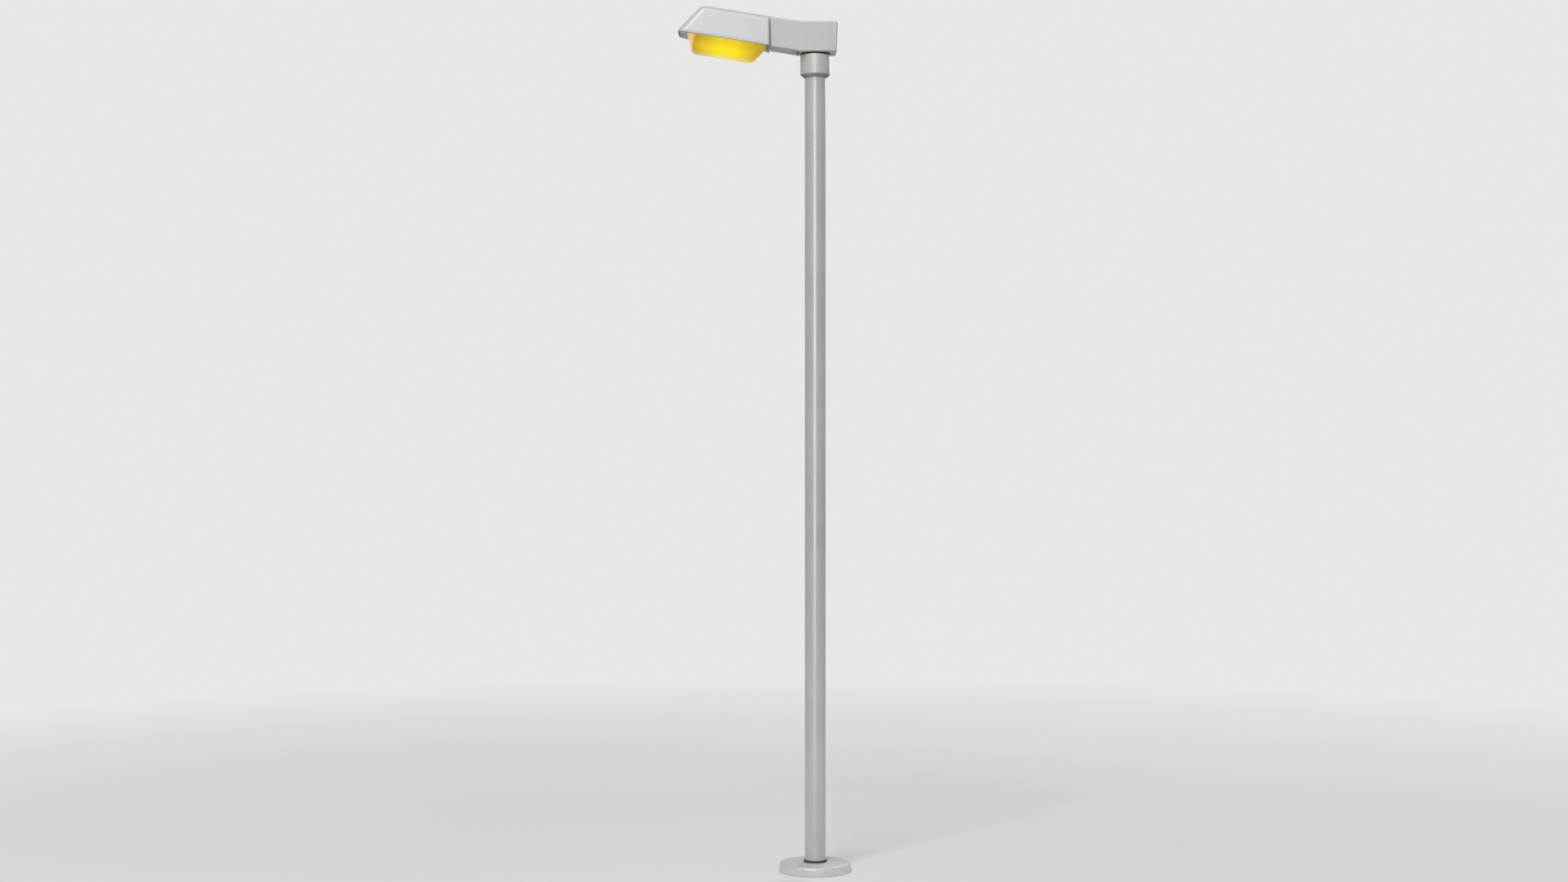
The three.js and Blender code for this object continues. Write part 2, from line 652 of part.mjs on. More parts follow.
// Reflector: a bright trough inside the hood, open downwards, with a hole for the lampholder
function reflectorLevels(inset, lowest) {
  const level = (z, share) => ({
    z,
    front: -572 + inset + 92 * share,
    rear: -190 - inset - 12 * share,
    half: 95 - inset - 42 * share,
    frontCorner: 40 - inset - 10 * share,
    rearCorner: 24 - inset - 6 * share,
  });
  const shares = [0, 0.1, 0.25, 0.5, 1];
  const heights = [14, 50, 80, 104, 118 - inset];
  return [level(lowest, 0), ...shares.map((share, i) => level(heights[i], share))];
}

function reflector() {
  const skin = 1.2;
  const [low, high] = [11.2, 12.6];
  const lipPlan = { front: -575, rear: -182, half: 101, frontCorner: 42, rearCorner: 26 };
  const lip = stacked([
    { ...lipPlan, z: low },
    { ...lipPlan, z: high },
  ]);
  const trough = join(stacked(reflectorLevels(0, low)), lip);
  const hollow = stacked(reflectorLevels(skin, 5));
  const holderHole = pointAlongX(rod(25, -225, -170)).translate(0, 0, LAMP_AXIS_Z);
  return cut(trough, hollow, holderHole);
}

add(head, "reflector", reflector(), brightAluminium);

// Lampholder on its bracket, and the lamp screwed into it
function lampholderBracket() {
  const [front, half, low, high, sheet] = [-185, 27, 22, 84, 2.5];
  const rear = rearPlaneAt(HOOD_REAR - HOOD_WALL, high) - GAP;
  const plate = block([front, -half, low], [front + sheet, half, high]);
  const foot = block([front, -half, high - sheet], [rear, half, high]);
  return cut(join(plate, foot), pointAlongX(rod(6, -190, -175, TINY)).translate(0, 0, LAMP_AXIS_Z));
}

function lampholder() {
  const back = -(185 + GAP); // it stands on the bracket and opens towards the front
  const body = turned([
    [0, back - 46],
    [21, back - 46],
    [23, back - 40],
    [23, back - 12],
    [18, back - 4],
    [18, back],
    [0, back],
  ]);
  return pointAlongX(cut(body, rod(14.3, back - 60, back - 8)));
}

function lampCap() {
  const body = turned([
    [0, CAP_REAR - 30],
    [12.6, CAP_REAR - 30],
    [13.4, CAP_REAR - 27],
    [13.4, CAP_REAR - 7],
    [8, CAP_REAR - 2],
    [4.5, CAP_REAR],
    [0, CAP_REAR],
  ], SMALL);
  return pointAlongX(cut(body, rod(11, CAP_REAR - 40, CAP_REAR - 22)));
}

// Half profile of the glass, from the neck to the tip, as [radius, distance in front of the cap]
const GLASS = [
  [10.4, -6],
  [10.4, 1],
  [13, 6],
  [17, 14],
  [26, 30],
  [33, 50],
  [35, 68],
  [33.5, 86],
  [28, 102],
  [18, 114],
  [9, 119],
];

function lampBulb() {
  const mouth = CAP_REAR - 30;
  const skin = 1.2;
  const outside = GLASS.map(([r, d]) => [r, mouth - d]);
  const inside = GLASS.map(([r, d], i) => [r - skin, mouth - d + (i > 8 ? skin : 0)]);
  const tip = mouth - 121;
  const profile = [[0, tip + skin], ...inside.reverse(), ...outside, [0, tip]];
  return pointAlongX(turned(profile.reverse(), SMALL));
}

function arcTube() {
  const base = CAP_REAR - 31;
  const outline = [
    [0, -95],
    [3.5, -93],
    [4.5, -85],
    [4.5, -35],
    [3.5, -27],
    [1.6, -23],
    [1.6, 0],
    [0, 0],
  ];
  return pointAlongX(turned(outline.map(([r, d]) => [r, base + d]), TINY));
}

const onLampAxis = (geometry) => geometry.translate(0, 0, LAMP_AXIS_Z);
add(head, "lampholder_bracket", lampholderBracket(), zinc);
add(head, "lampholder", onLampAxis(lampholder()), porcelain);
add(head, "lamp_cap", onLampAxis(lampCap()), brass);
add(head, "lamp_bulb", onLampAxis(lampBulb()), lampGlass);
add(head, "arc_tube", onLampAxis(arcTube()), porcelain);

// Bowl: a moulded tray under the rim, clamped with a flange in a swinging frame
function bowlLevels(inset, highest) {
  const depth = BOWL_DEPTH - inset;
  const rounding = 13 - inset;
  const level = (z, tuck) => {
    const share = Math.max(0, -z) / BOWL_DEPTH;
    return {
      z,
      front: BOWL_FRONT + inset + 32 * share + tuck,
      rear: BOWL_REAR - inset - 50 * share - tuck,
      half: BOWL_HALF - inset - 20 * share - tuck,
      frontCorner: 30 - inset - 0.3 * tuck,
      rearCorner: 30 - inset - 0.3 * tuck,
    };
  };
  const rounded = [90, 62, 34, 10].map((degrees) => {
    const angle = THREE.MathUtils.degToRad(degrees);
    return level(-depth + rounding * (1 - Math.sin(angle)), rounding * (1 - Math.cos(angle)));
  });
  return [...rounded, level(0, 0), level(highest, 0)];
}

// One level of the bowl's rim, grown outwards all round
const rim = (grow, z, corner) => ({
  z,
  front: BOWL_FRONT - grow,
  rear: BOWL_REAR + grow,
  half: BOWL_HALF + grow,
  frontCorner: corner,
  rearCorner: corner,
});

function bowlLens() {
  const flange = stacked([rim(6, FRAME_THICKNESS + GAP, 32), rim(6, FLANGE_TOP, 32)]);
  const tray = join(stacked(bowlLevels(0, FLANGE_TOP)), flange);
  return cut(tray, stacked(bowlLevels(BOWL_WALL, FLANGE_TOP + 5)));
}

function bowlSeal() {
  const [low, high] = [FLANGE_TOP + GAP, FLANGE_TOP + 4.3];
  const pad = stacked([rim(5.5, low, 31), rim(5.5, high, 31)]);
  return cut(pad, stacked([rim(-3.5, low - 2, 26), rim(-3.5, high + 2, 26)]));
}

const KNUCKLES = [
  [-58, -40],
  [40, 58],
];

function bowlFrame() {
  const outer = { front: -599.5, rear: HINGE_X - 7, half: 105.5, frontCorner: 36, rearCorner: 8 };
  const plate = stacked([
    { ...outer, z: 0 },
    { ...outer, z: FRAME_THICKNESS },
  ]);
  const opening = stacked([rim(0.8, -2, 30.5), rim(0.8, FRAME_THICKNESS + 2, 30.5)]);
  const knuckles = KNUCKLES.flatMap(([from, to]) => [
    pointAlongY(rod(4.3, from, to, TINY)).translate(HINGE_X, 0, HINGE_Z),
    block([HINGE_X - 9, from, 0.4], [HINGE_X - 1, to, FRAME_THICKNESS - 0.1]),
  ]);
  const body = join(cut(plate, opening), ...knuckles);
  return cut(
    body,
    hingePin(2.4, 80, HINGE_X, HINGE_Z),
    rod(3.7, -5, 10, TINY).translate(BOWL_SCREW_X, 0, 0),
  );
}

// Low knurled screw that holds the bowl's front end up
function bowlScrew() {
  const [radius, headRadius, headLow, top] = [3, 8, -6, 21];
  const body = turned([
    [0, headLow],
    [headRadius - 1, headLow],
    [headRadius, headLow + 1],
    [headRadius, -1.4],
    [headRadius - 1, -GAP],
    [radius, -GAP],
    [radius, top - 1],
    [radius - 1, top],
    [0, top],
  ], SMALL);
  const driverSlot = block([-headRadius - 1, -0.8, headLow - 1], [headRadius + 1, 0.8, headLow + 1.6]);
  return cut(body, driverSlot).translate(BOWL_SCREW_X, 0, 0);
}

add(head, "bowl_lens", bowlLens(), bowlPlastic);
add(head, "bowl_frame", bowlFrame(), hoodPaint);
add(head, "bowl_seal", bowlSeal(), rubber);
add(head, "bowl_screw", bowlScrew(), steel);
add(head, "bowl_hinge_pin", hingePin(2, 70, HINGE_X, HINGE_Z), steel);

// Gear cover: a flat hatch under the housing, hinged at its rear edge, with one screw in front
function gearCover() {
  const { front, half } = GEAR_OPENING;
  const plate = block([front + 1, 1 - half, 0], [COVER_HINGE_X - 6.5, half - 1, 3]);
  const knuckles = [-48, 34].flatMap((y) => [
    pointAlongY(rod(4, y, y + 14, TINY)).translate(COVER_HINGE_X, 0, COVER_HINGE_Z),
    block([COVER_HINGE_X - 9, y, 0.6], [COVER_HINGE_X - 1, y + 14, 2.9]),
  ]);
  return cut(
    join(plate, ...knuckles),
    hingePin(2.2, 80, COVER_HINGE_X, COVER_HINGE_Z),
    rod(3.1, -5, 10, TINY).translate(COVER_SCREW_X, 0, 0),
  );
}

function coverScrew() {
  const body = turned([[0, -3.5], [4, -3.5], [5, -2.6], [5, -GAP], [2.5, -GAP], [2.5, 13], [0, 13]], TINY);
  return cut(body, block([-6, -0.6, -5], [6, 0.6, -2.2])).translate(COVER_SCREW_X, 0, 0);
}

add(head, "gear_cover", gearCover(), castPaint);
add(head, "gear_cover_screw", coverScrew(), steel);
add(head, "gear_cover_pin", hingePin(1.8, 58, COVER_HINGE_X, COVER_HINGE_Z), steel);

// Control gear hung from a tray under the housing's roof
function gearTray() {
  const plate = block([-146, -64, TRAY.low], [-14, 64, TRAY.high]);
  const post = (x, y) => rod(5, TRAY.high - 1, TRAY.high + 9, TINY).translate(x, y, 0);
  return join(plate, post(-134, -54), post(-134, 54), post(-26, -54), post(-26, 54));
}

function ballast() {
  const top = TRAY.low - GAP;
  const core = block([-124, -66, top - 50], [-48, -6, top]);
  const windings = block([-138, -56, top - 44], [-34, -16, top - 8]);
  return join(core, windings);
}

function capacitor() {
  const [radius, studRadius, front, rear] = [17, 4, -138, -54];
  const can = turned([
    [0, front],
    [radius - 2, front],
    [radius, front + 3],
    [radius, rear - 2],
    [radius - 2, rear],
    [studRadius, rear],
    [studRadius, rear + 10],
    [0, rear + 10],
  ], SMALL);
  return pointAlongX(can).translate(0, 17, TRAY.low - GAP - radius - 0.2);
}

function ignitor() {
  const top = TRAY.low - GAP;
  const body = block([-136, 38, top - 34], [-74, 64, top]);
  return join(body, block([-78, 43, top - 22], [-66, 59, top - 10]));
}

add(head, "gear_tray", gearTray(), zinc);
add(head, "ballast", ballast(), blackPaint);
add(head, "capacitor", capacitor(), brightAluminium);
add(head, "ignitor", ignitor(), whitePlastic);

// Wiring: the post cable ends in a terminal block behind the post, a lead runs from there to the
// ballast, and a second lead runs from the ballast to the lampholder
const LEAD_LEVEL = HOUSING_FLOOR + 18;

function terminalBlock() {
  const floor = HOUSING_FLOOR;
  const body = block([62, -22, floor], [88, 22, floor + 24]);
  const funnels = [-14, 0, 14].map((y) => rod(3.2, floor + 14, floor + 30, TINY).translate(75, y, 0));
  return cut(body, ...funnels);
}

function cableClamp() {
  const saddle = block([40, -16, HOUSING_FLOOR], [48, 16, LEAD_LEVEL + 9]);
  return cut(saddle, pointAlongX(rod(5, 35, 55, TINY)).translate(0, 0, LEAD_LEVEL));
}

const headLeadRoute = [
  [0, 0, POST_TOP + GAP],
  [0, 0, MOUNTING_HEIGHT + 6],
  [4, 0, MOUNTING_HEIGHT + 21],
  [14, 0, MOUNTING_HEIGHT + 30],
  [26, 0, MOUNTING_HEIGHT + 28],
  [37, 0, LEAD_LEVEL],
  [50, 0, LEAD_LEVEL],
  [62 - GAP, 0, LEAD_LEVEL],
];
const gearLeadRoute = [
  [61, -14, HOUSING_FLOOR + 12],
  [56, -14.2, HOUSING_FLOOR + 12.2],
  [47, -22, HOUSING_FLOOR + 16],
  [20, -42, HOUSING_FLOOR + 36],
  [-25, -44, HOUSING_FLOOR + 62],
  [-60, -38, HOUSING_FLOOR + 86],
  [-82, -36, HOUSING_FLOOR + 98],
];
const lampLeadRoute = [
  [-70, -30, TRAY.low - 51],
  [-70.5, -30, 70],
  [-80, -27, 60],
  [-105, -15, 54],
  [-130, -3, 55],
  [-150, 0, LEAD_HOLE.z],
  [-163, 0, LEAD_HOLE.z],
  [-171, 0, 53.5],
  [-178, 0, 50.5],
  [-184, 0, LAMP_AXIS_Z],
];
add(lampPost, "terminal_block", terminalBlock(), porcelain);
add(lampPost, "cable_clamp", cableClamp(), greyPlastic);
add(lampPost, "head_lead", wire(headLeadRoute, 4, 18), cableJacket);
add(lampPost, "gear_lead", wire(gearLeadRoute, 2.5, 20), cableJacket);
add(head, "lamp_lead", wire(lampLeadRoute, 3, 20), cableJacket);

export default lampPost;
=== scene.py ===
import json
import math

import bmesh
import bpy
from mathutils import Matrix, Vector


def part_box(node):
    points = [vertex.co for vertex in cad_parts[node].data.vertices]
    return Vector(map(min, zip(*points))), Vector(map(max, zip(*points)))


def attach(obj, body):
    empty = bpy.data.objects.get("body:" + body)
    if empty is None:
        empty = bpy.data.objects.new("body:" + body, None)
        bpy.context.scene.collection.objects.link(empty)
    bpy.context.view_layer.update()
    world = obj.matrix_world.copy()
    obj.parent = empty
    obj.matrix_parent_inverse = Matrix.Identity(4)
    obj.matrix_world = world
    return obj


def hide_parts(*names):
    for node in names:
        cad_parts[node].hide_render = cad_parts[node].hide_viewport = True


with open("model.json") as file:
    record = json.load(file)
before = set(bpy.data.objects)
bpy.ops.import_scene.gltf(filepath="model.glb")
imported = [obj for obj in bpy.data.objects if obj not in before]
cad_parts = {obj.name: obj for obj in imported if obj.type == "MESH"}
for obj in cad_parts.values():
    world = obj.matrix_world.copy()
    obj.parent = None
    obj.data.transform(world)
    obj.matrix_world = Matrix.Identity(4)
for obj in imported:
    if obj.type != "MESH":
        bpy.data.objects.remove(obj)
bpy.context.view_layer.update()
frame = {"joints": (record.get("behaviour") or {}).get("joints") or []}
joints = {joint["name"]: joint for joint in frame["joints"]}

# Shapes are drawn in millimetres and brought to metres as each piece is made
toMetres = 0.001
tau = 2 * math.pi


def sizeOf(node):
    low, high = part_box(node)
    return low / toMetres, high / toMetres


# The lantern is drawn level and then tilted, as the lamp's own axis is
lampAxis = Vector(joints["lamp_unscrew"]["axis"])
headTilt = math.atan2(-lampAxis.z, lampAxis.x)
bowlHinge = {"x": -165.0, "z": 5.0}  # in the level drawing
tiltOnly = Matrix.Rotation(headTilt, 4, "Y")
hingePoint = Vector(joints["bowl_swing"]["pos_m"])
headOrigin = hingePoint - tiltOnly @ Vector((bowlHinge["x"], 0, bowlHinge["z"])) * toMetres
headPlace = Matrix.Translation(headOrigin) @ tiltOnly
level = Matrix.Identity(4)


def meshFrom(points, faces):
    bm = bmesh.new()
    verts = [bm.verts.new(p) for p in points]
    for face in faces:
        bm.faces.new([verts[i] for i in face])
    return bm


def join(*parts):
    whole = bmesh.new()
    for part in parts:
        temp = bpy.data.meshes.new("temp")
        part.to_mesh(temp)
        part.free()
        whole.from_mesh(temp)
        bpy.data.meshes.remove(temp)
    return whole


def moved(bm, matrix):
    bm.transform(matrix)
    return bm


def shift(bm, x=0, y=0, z=0):
    return moved(bm, Matrix.Translation((x, y, z)))


def turnZ(bm, degrees):
    return moved(bm, Matrix.Rotation(math.radians(degrees), 4, "Z"))


def alongX(bm):
    return moved(bm, Matrix.Rotation(math.pi / 2, 4, "Y"))


def alongY(bm):
    return moved(bm, Matrix.Rotation(-math.pi / 2, 4, "X"))


def rounded(points, radius, steps=3, closed=True):
    # softens each corner of an outline; a point may carry its own radius as a third number
    out = []
    count = len(points)
    for i, point in enumerate(points):
        own = point[2] if len(point) > 2 else radius
        corner = Vector(point[:2])
        if own <= 0 or (not closed and i in (0, count - 1)):
            out.append(tuple(corner))
            continue
        before = Vector(points[i - 1][:2]) - corner
        after = Vector(points[(i + 1) % count][:2]) - corner
        angle = before.angle(after, math.pi)
        if angle > math.radians(176) or angle < 1e-3:
            out.append(tuple(corner))
            continue
        reach = min(own / math.tan(angle / 2), before.length * 0.45, after.length * 0.45)
        start = corner + before.normalized() * reach
        end = corner + after.normalized() * reach
        for k in range(steps + 1):
            t = k / steps
            out.append(tuple(start * (1 - t) ** 2 + corner * 2 * t * (1 - t) + end * t**2))
    return out


def turned(profile, sides=64, edge=0.4, steps=2, ripple=None):
    # a closed profile of (radius, height) turned about Z; points on the axis stay sharp
    marked = [(*p[:2], 0) if p[0] < 1e-6 else p for p in profile]
    outline = rounded(marked, edge, steps)
    points, faces, ringStart = [], [], []
    for radius, height in outline:
        ringStart.append(len(points))
        if radius < 1e-6:
            points.append((0, 0, height))
            continue
        for j in range(sides):
            phi = tau * j / sides
            grow = ripple(phi, radius, height) if ripple else 0
            points.append(((radius + grow) * math.cos(phi), (radius + grow) * math.sin(phi), height))
    for i, (radius, _) in enumerate(outline):
        nextRadius = outline[(i + 1) % len(outline)][0]
        a, b = ringStart[i], ringStart[(i + 1) % len(outline)]
        for j in range(sides):
            k = (j + 1) % sides
            if radius < 1e-6 and nextRadius < 1e-6:
                break
            if radius < 1e-6:
                faces.append((a, b + k, b + j))
            elif nextRadius < 1e-6:
                faces.append((a + j, a + k, b))
            else:
                faces.append((a + j, a + k, b + k, b + j))
    return meshFrom(points, faces)


def rod(radius, low, high, sides=32, edge=0.3):
    return turned([(0, low), (radius, low), (radius, high), (0, high)], sides, edge)


def hexBar(acrossFlats, low, high):
    # a hexagon whose corners are turned off at both ends, as on a bolt head or nut
    corner = acrossFlats / math.sqrt(3)
    bar = turned([(0, low), (corner, low), (corner, high), (0, high)], 6, 0)
    flat, drop = acrossFlats / 2, (corner - acrossFlats / 2) * 0.58
    envelope = turned(
        [(0, low), (flat, low), (corner, low + drop), (corner, high - drop), (flat, high), (0, high)], 48, 0
    )
    return combined(bar, "INTERSECT", envelope)


def block(low, high, edge=0.8, steps=2):
    bm = bmesh.new()
    bmesh.ops.create_cube(bm, size=1)
    size = Vector(high) - Vector(low)
    bm.transform(Matrix.Diagonal((*size, 1)))
    bm.transform(Matrix.Translation((Vector(low) + Vector(high)) / 2))
    if edge > 0:
        reach = min(edge, min(size) * 0.45)
        bmesh.ops.bevel(bm, geom=bm.edges[:], offset=reach, segments=steps, profile=0.5, affect="EDGES")
    return bm


def prism(outline, low, high, edge=0):
    # an outline in the plane, drawn anticlockwise, raised from low to high
    count = len(outline)
    points = [(x, y, low) for x, y in outline] + [(x, y, high) for x, y in outline]
    faces = [tuple(reversed(range(count))), tuple(range(count, 2 * count))]
    faces += [(i, (i + 1) % count, count + (i + 1) % count, count + i) for i in range(count)]
    bm = meshFrom(points, faces)
    if edge > 0:
        rim = [e for e in bm.edges if abs(e.verts[0].co.z - e.verts[1].co.z) < 1e-6]
        bmesh.ops.bevel(bm, geom=rim, offset=edge, segments=2, profile=0.5, affect="EDGES")
    return bm


def planRing(front, rear, half, frontCorner, rearCorner, z, steps=10):
    # a rectangle in plan with round corners, anticlockwise, its long way along X
    corners = (
        (rear - rearCorner, half - rearCorner, rearCorner, 0),
        (front + frontCorner, half - frontCorner, frontCorner, 1),
        (front + frontCorner, frontCorner - half, frontCorner, 2),
        (rear - rearCorner, rearCorner - half, rearCorner, 3),
    )
    ring = []
    for x, y, radius, quarter in corners:
        for i in range(steps + 1):
            angle = (quarter + i / steps) * math.pi / 2
            ring.append((x + radius * math.cos(angle), y + radius * math.sin(angle), z))
    return ring


def skinned(rings, loop=False, capFirst=True, capLast=True):
    # a skin through rings of equal count; the first cap faces down when the rings go up
    count = len(rings[0])
    points = [p for ring in rings for p in ring]
    faces = []
    for i in range(len(rings) if loop else len(rings) - 1):
        a, b = i * count, ((i + 1) % len(rings)) * count
        for j in range(count):
            k = (j + 1) % count
            faces.append((a + j, a + k, b + k, b + j))
    if capFirst and not loop:
        faces.append(tuple(reversed(range(count))))
    if capLast and not loop:
        faces.append(tuple(range(len(points) - count, len(points))))
    return meshFrom(points, faces)


def tubeAlong(route, radius, sides=20, steps=14):
    # a wire through the points of a route, on a centripetal spline
    ends = [2 * Vector(route[0]) - Vector(route[1])], [2 * Vector(route[-1]) - Vector(route[-2])]
    marks = ends[0] + [Vector(p) for p in route] + ends[1]
    path = []
    for i in range(1, len(marks) - 2):
        p = marks[i - 1 : i + 3]
        t = [0.0]
        for a, b in zip(p, p[1:]):
            t.append(t[-1] + max((b - a).length, 1e-4) ** 0.5)
        for s in range(steps):
            u = t[1] + (t[2] - t[1]) * s / steps
            near = [(p[k] * (t[k + 1] - u) + p[k + 1] * (u - t[k])) / (t[k + 1] - t[k]) for k in range(3)]
            mid = [
                (near[k] * (t[k + 2] - u) + near[k + 1] * (u - t[k])) / (t[k + 2] - t[k]) for k in range(2)
            ]
            path.append((mid[0] * (t[2] - u) + mid[1] * (u - t[1])) / (t[2] - t[1]))
    path.append(marks[-2])
    side = Vector((0, 1, 0.01)).normalized()
    rings = []
    for i, point in enumerate(path):
        ahead = (path[min(i + 1, len(path) - 1)] - path[max(i - 1, 0)]).normalized()
        side = (side - ahead * side.dot(ahead)).normalized()
        up = ahead.cross(side)
        rings.append(
            [
                tuple(point + (side * math.cos(tau * j / sides) + up * math.sin(tau * j / sides)) * radius)
                for j in range(sides)
            ]
        )
    return skinned(rings)


def combined(body, how, *tools):
    # joins, cuts or keeps what two closed meshes share
    def hold(bm, name):
        mesh = bpy.data.meshes.new(name)
        bmesh.ops.recalc_face_normals(bm, faces=bm.faces[:])
        bm.to_mesh(mesh)
        bm.free()
        obj = bpy.data.objects.new(name, mesh)
        bpy.context.scene.collection.objects.link(obj)
        return obj

    work = hold(body, "work")
    for tool in tools:
        helper = hold(tool, "helper")
        modifier = work.modifiers.new("combine", "BOOLEAN")
        modifier.operation = how
        modifier.solver = "EXACT"
        modifier.object = helper
        done = bpy.data.meshes.new_from_object(work.evaluated_get(bpy.context.evaluated_depsgraph_get()))
        work.modifiers.clear()
        old = work.data
        work.data = done
        bpy.data.meshes.remove(old)
        spare = helper.data
        bpy.data.objects.remove(helper)
        bpy.data.meshes.remove(spare)
    bm = bmesh.new()
    bm.from_mesh(work.data)
    spare = work.data
    bpy.data.objects.remove(work)
    bpy.data.meshes.remove(spare)
    return bm


def cut(body, *tools):
    return combined(body, "DIFFERENCE", *tools)


def fused(body, *tools):
    return combined(body, "UNION", *tools)


def piece(name, bm, body, slot, stands, place=level, crease=32, look=None):
    # bm becomes a shown object on a body, standing for the named nodes of the frame
    bmesh.ops.remove_doubles(bm, verts=bm.verts[:], dist=1e-4)
    bmesh.ops.recalc_face_normals(bm, faces=bm.faces[:])
    bm.transform(Matrix.Scale(toMetres, 4))
    mesh = bpy.data.meshes.new(name)
    bm.to_mesh(mesh)
    bm.free()
    mesh.shade_smooth()
    mesh.set_sharp_from_angle(angle=math.radians(crease))
    obj = bpy.data.objects.new(name, mesh)
    bpy.context.scene.collection.objects.link(obj)
    obj.matrix_world = place
    even = obj.modifiers.new("even shading", "WEIGHTED_NORMAL")
    even.keep_sharp = True
    mesh.materials.append(finishes[look or slot])
    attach(obj, body)
    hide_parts(*([stands] if isinstance(stands, str) else stands))
    return obj


def newGroup(name, inputs, outputs):
    # one number makes a value input and four make a colour input
    tree = bpy.data.node_groups.new(name, "ShaderNodeTree")
    for label, value in inputs.items():
        kind = "NodeSocketColor" if isinstance(value, tuple) else "NodeSocketFloat"
        tree.interface.new_socket(label, in_out="INPUT", socket_type=kind).default_value = value
    for label, kind in outputs.items():
        tree.interface.new_socket(label, in_out="OUTPUT", socket_type="NodeSocket" + kind)
    given = tree.nodes.new("NodeGroupInput").outputs
    return tree, given, tree.nodes.new("NodeGroupOutput").inputs


def feed(tree, made, values):
    # each value goes in as a link or as a fixed number
    for key, value in values.items():
        if isinstance(value, bpy.types.NodeSocket):
            tree.links.new(value, made.inputs[key])
        else:
            made.inputs[key].default_value = value
    return made


def node(tree, kind, values=None, **settings):
    made = tree.nodes.new("ShaderNode" + kind)
    for key, value in settings.items():
        setattr(made, key, value)
    return feed(tree, made, values or {})


def ranged(tree, value, fromLow, fromHigh, toLow=0.0, toHigh=1.0):
    made = node(tree, "MapRange", {0: value, 1: fromLow, 2: fromHigh, 3: toLow, 4: toHigh})
    return made.outputs[0]


def maths(tree, operation, a, b=0.0):
    return node(tree, "Math", {0: a, 1: b}, operation=operation).outputs[0]


def times(tree, a, b):
    return maths(tree, "MULTIPLY", a, b)


def mixed(tree, amount, a, b, blend="MIX"):
    made = node(tree, "Mix", {"Factor": amount, 6: a, 7: b}, data_type="RGBA", blend_type=blend)
    return made.outputs[2]


def objectPlace(tree):
    return node(tree, "TexCoord").outputs["Object"]


def axisOf(tree, vector, axis):
    return node(tree, "SeparateXYZ", {0: vector}).outputs[axis]


def noise(tree, place, scale, detail=2.0, roughness=0.5):
    values = {"Vector": place, "Scale": scale, "Detail": detail, "Roughness": roughness}
    return node(tree, "TexNoise", values).outputs["Fac"]


def buildMottle():
    # slow drifts of shade over a surface
    inputs = {"Color": (1, 1, 1, 1), "Amount": 0.1, "Scale": 5.0}
    tree, given, out = newGroup("colour mottle", inputs, {"Color": "Color", "Mask": "Float"})
    wide = noise(tree, objectPlace(tree), given["Scale"], 4.0, 0.6)
    change = times(tree, ranged(tree, wide, 0.3, 0.7, -1.0, 1.0), given["Amount"])
    values = {"Color": given["Color"], "Value": maths(tree, "ADD", change, 1.0)}
    tree.links.new(node(tree, "HueSaturation", values).outputs["Color"], out["Color"])
    tree.links.new(wide, out["Mask"])
    return tree


def buildGrain():
    # fine relief, from orange peel to casting grain; the lumps are about six times as broad
    tree, given, out = newGroup("fine grain", {"Scale": 300.0, "Coarse": 0.5}, {"Height": "Float"})
    place = objectPlace(tree)
    fine = noise(tree, place, given["Scale"])
    lumps = noise(tree, place, times(tree, given["Scale"], 0.17), 3.0)
    tree.links.new(maths(tree, "ADD", fine, times(tree, lumps, given["Coarse"])), out["Height"])
    return tree


def buildEdges():
    # where an edge sticks out it is rubbed; the normal rounds the edge off a little
    inputs = {"Radius": 0.001, "Amount": 0.5, "Scale": 60.0}
    tree, given, out = newGroup("edge wear", inputs, {"Mask": "Float", "Normal": "Vector"})
    soft = node(tree, "Bevel", {"Radius": given["Radius"]}, samples=4).outputs["Normal"]
    flat = node(tree, "NewGeometry").outputs["Normal"]
    facing = node(tree, "VectorMath", {0: soft, 1: flat}, operation="DOT_PRODUCT").outputs["Value"]
    chips = ranged(tree, noise(tree, objectPlace(tree), given["Scale"], 5.0, 0.7), 0.47, 0.6)
    worn = times(tree, ranged(tree, facing, 0.995, 0.80), chips)
    tree.links.new(times(tree, worn, given["Amount"]), out["Mask"])
    tree.links.new(soft, out["Normal"])
    return tree


def maskGroup(name, inputs, drawn):
    # a group whose one output is what drawn() makes, scaled by its Amount
    tree, given, out = newGroup(name, inputs, {"Mask": "Float"})
    tree.links.new(times(tree, drawn(tree, given), given["Amount"]), out["Mask"])
    return tree


def facingUp(tree):
    return axisOf(tree, node(tree, "NewGeometry").outputs["Normal"], "Z")


def settledDust(tree, given):
    # dirt that lies on what faces up, in soft patches
    patches = noise(tree, objectPlace(tree), given["Scale"], 6.0, 0.65)
    return times(tree, ranged(tree, facingUp(tree), 0.25, 0.95), ranged(tree, patches, 0.35, 0.7))


def paintedUndersideShade(tree, given):
    # painted shade on what faces down, in soft patches
    patches = noise(tree, objectPlace(tree), given["Scale"], 5.0)
    return times(tree, ranged(tree, facingUp(tree), -0.3, -0.85), ranged(tree, patches, 0.2, 0.6, 0.6, 1.0))


def rainStreaks(tree, given):
    # what rain has carried down an upright face: noise drawn out along Z, and broken up
    place = objectPlace(tree)
    drawn = node(tree, "Mapping", {"Vector": place, "Scale": (1.0, 1.0, 0.035)}).outputs[0]
    lines = noise(tree, drawn, given["Scale"], 4.0, 0.6)
    run = times(tree, ranged(tree, lines, 0.5, 0.72), ranged(tree, noise(tree, place, 3.0), 0.35, 0.65))
    return times(tree, run, ranged(tree, maths(tree, "ABSOLUTE", facingUp(tree)), 0.9, 0.4))


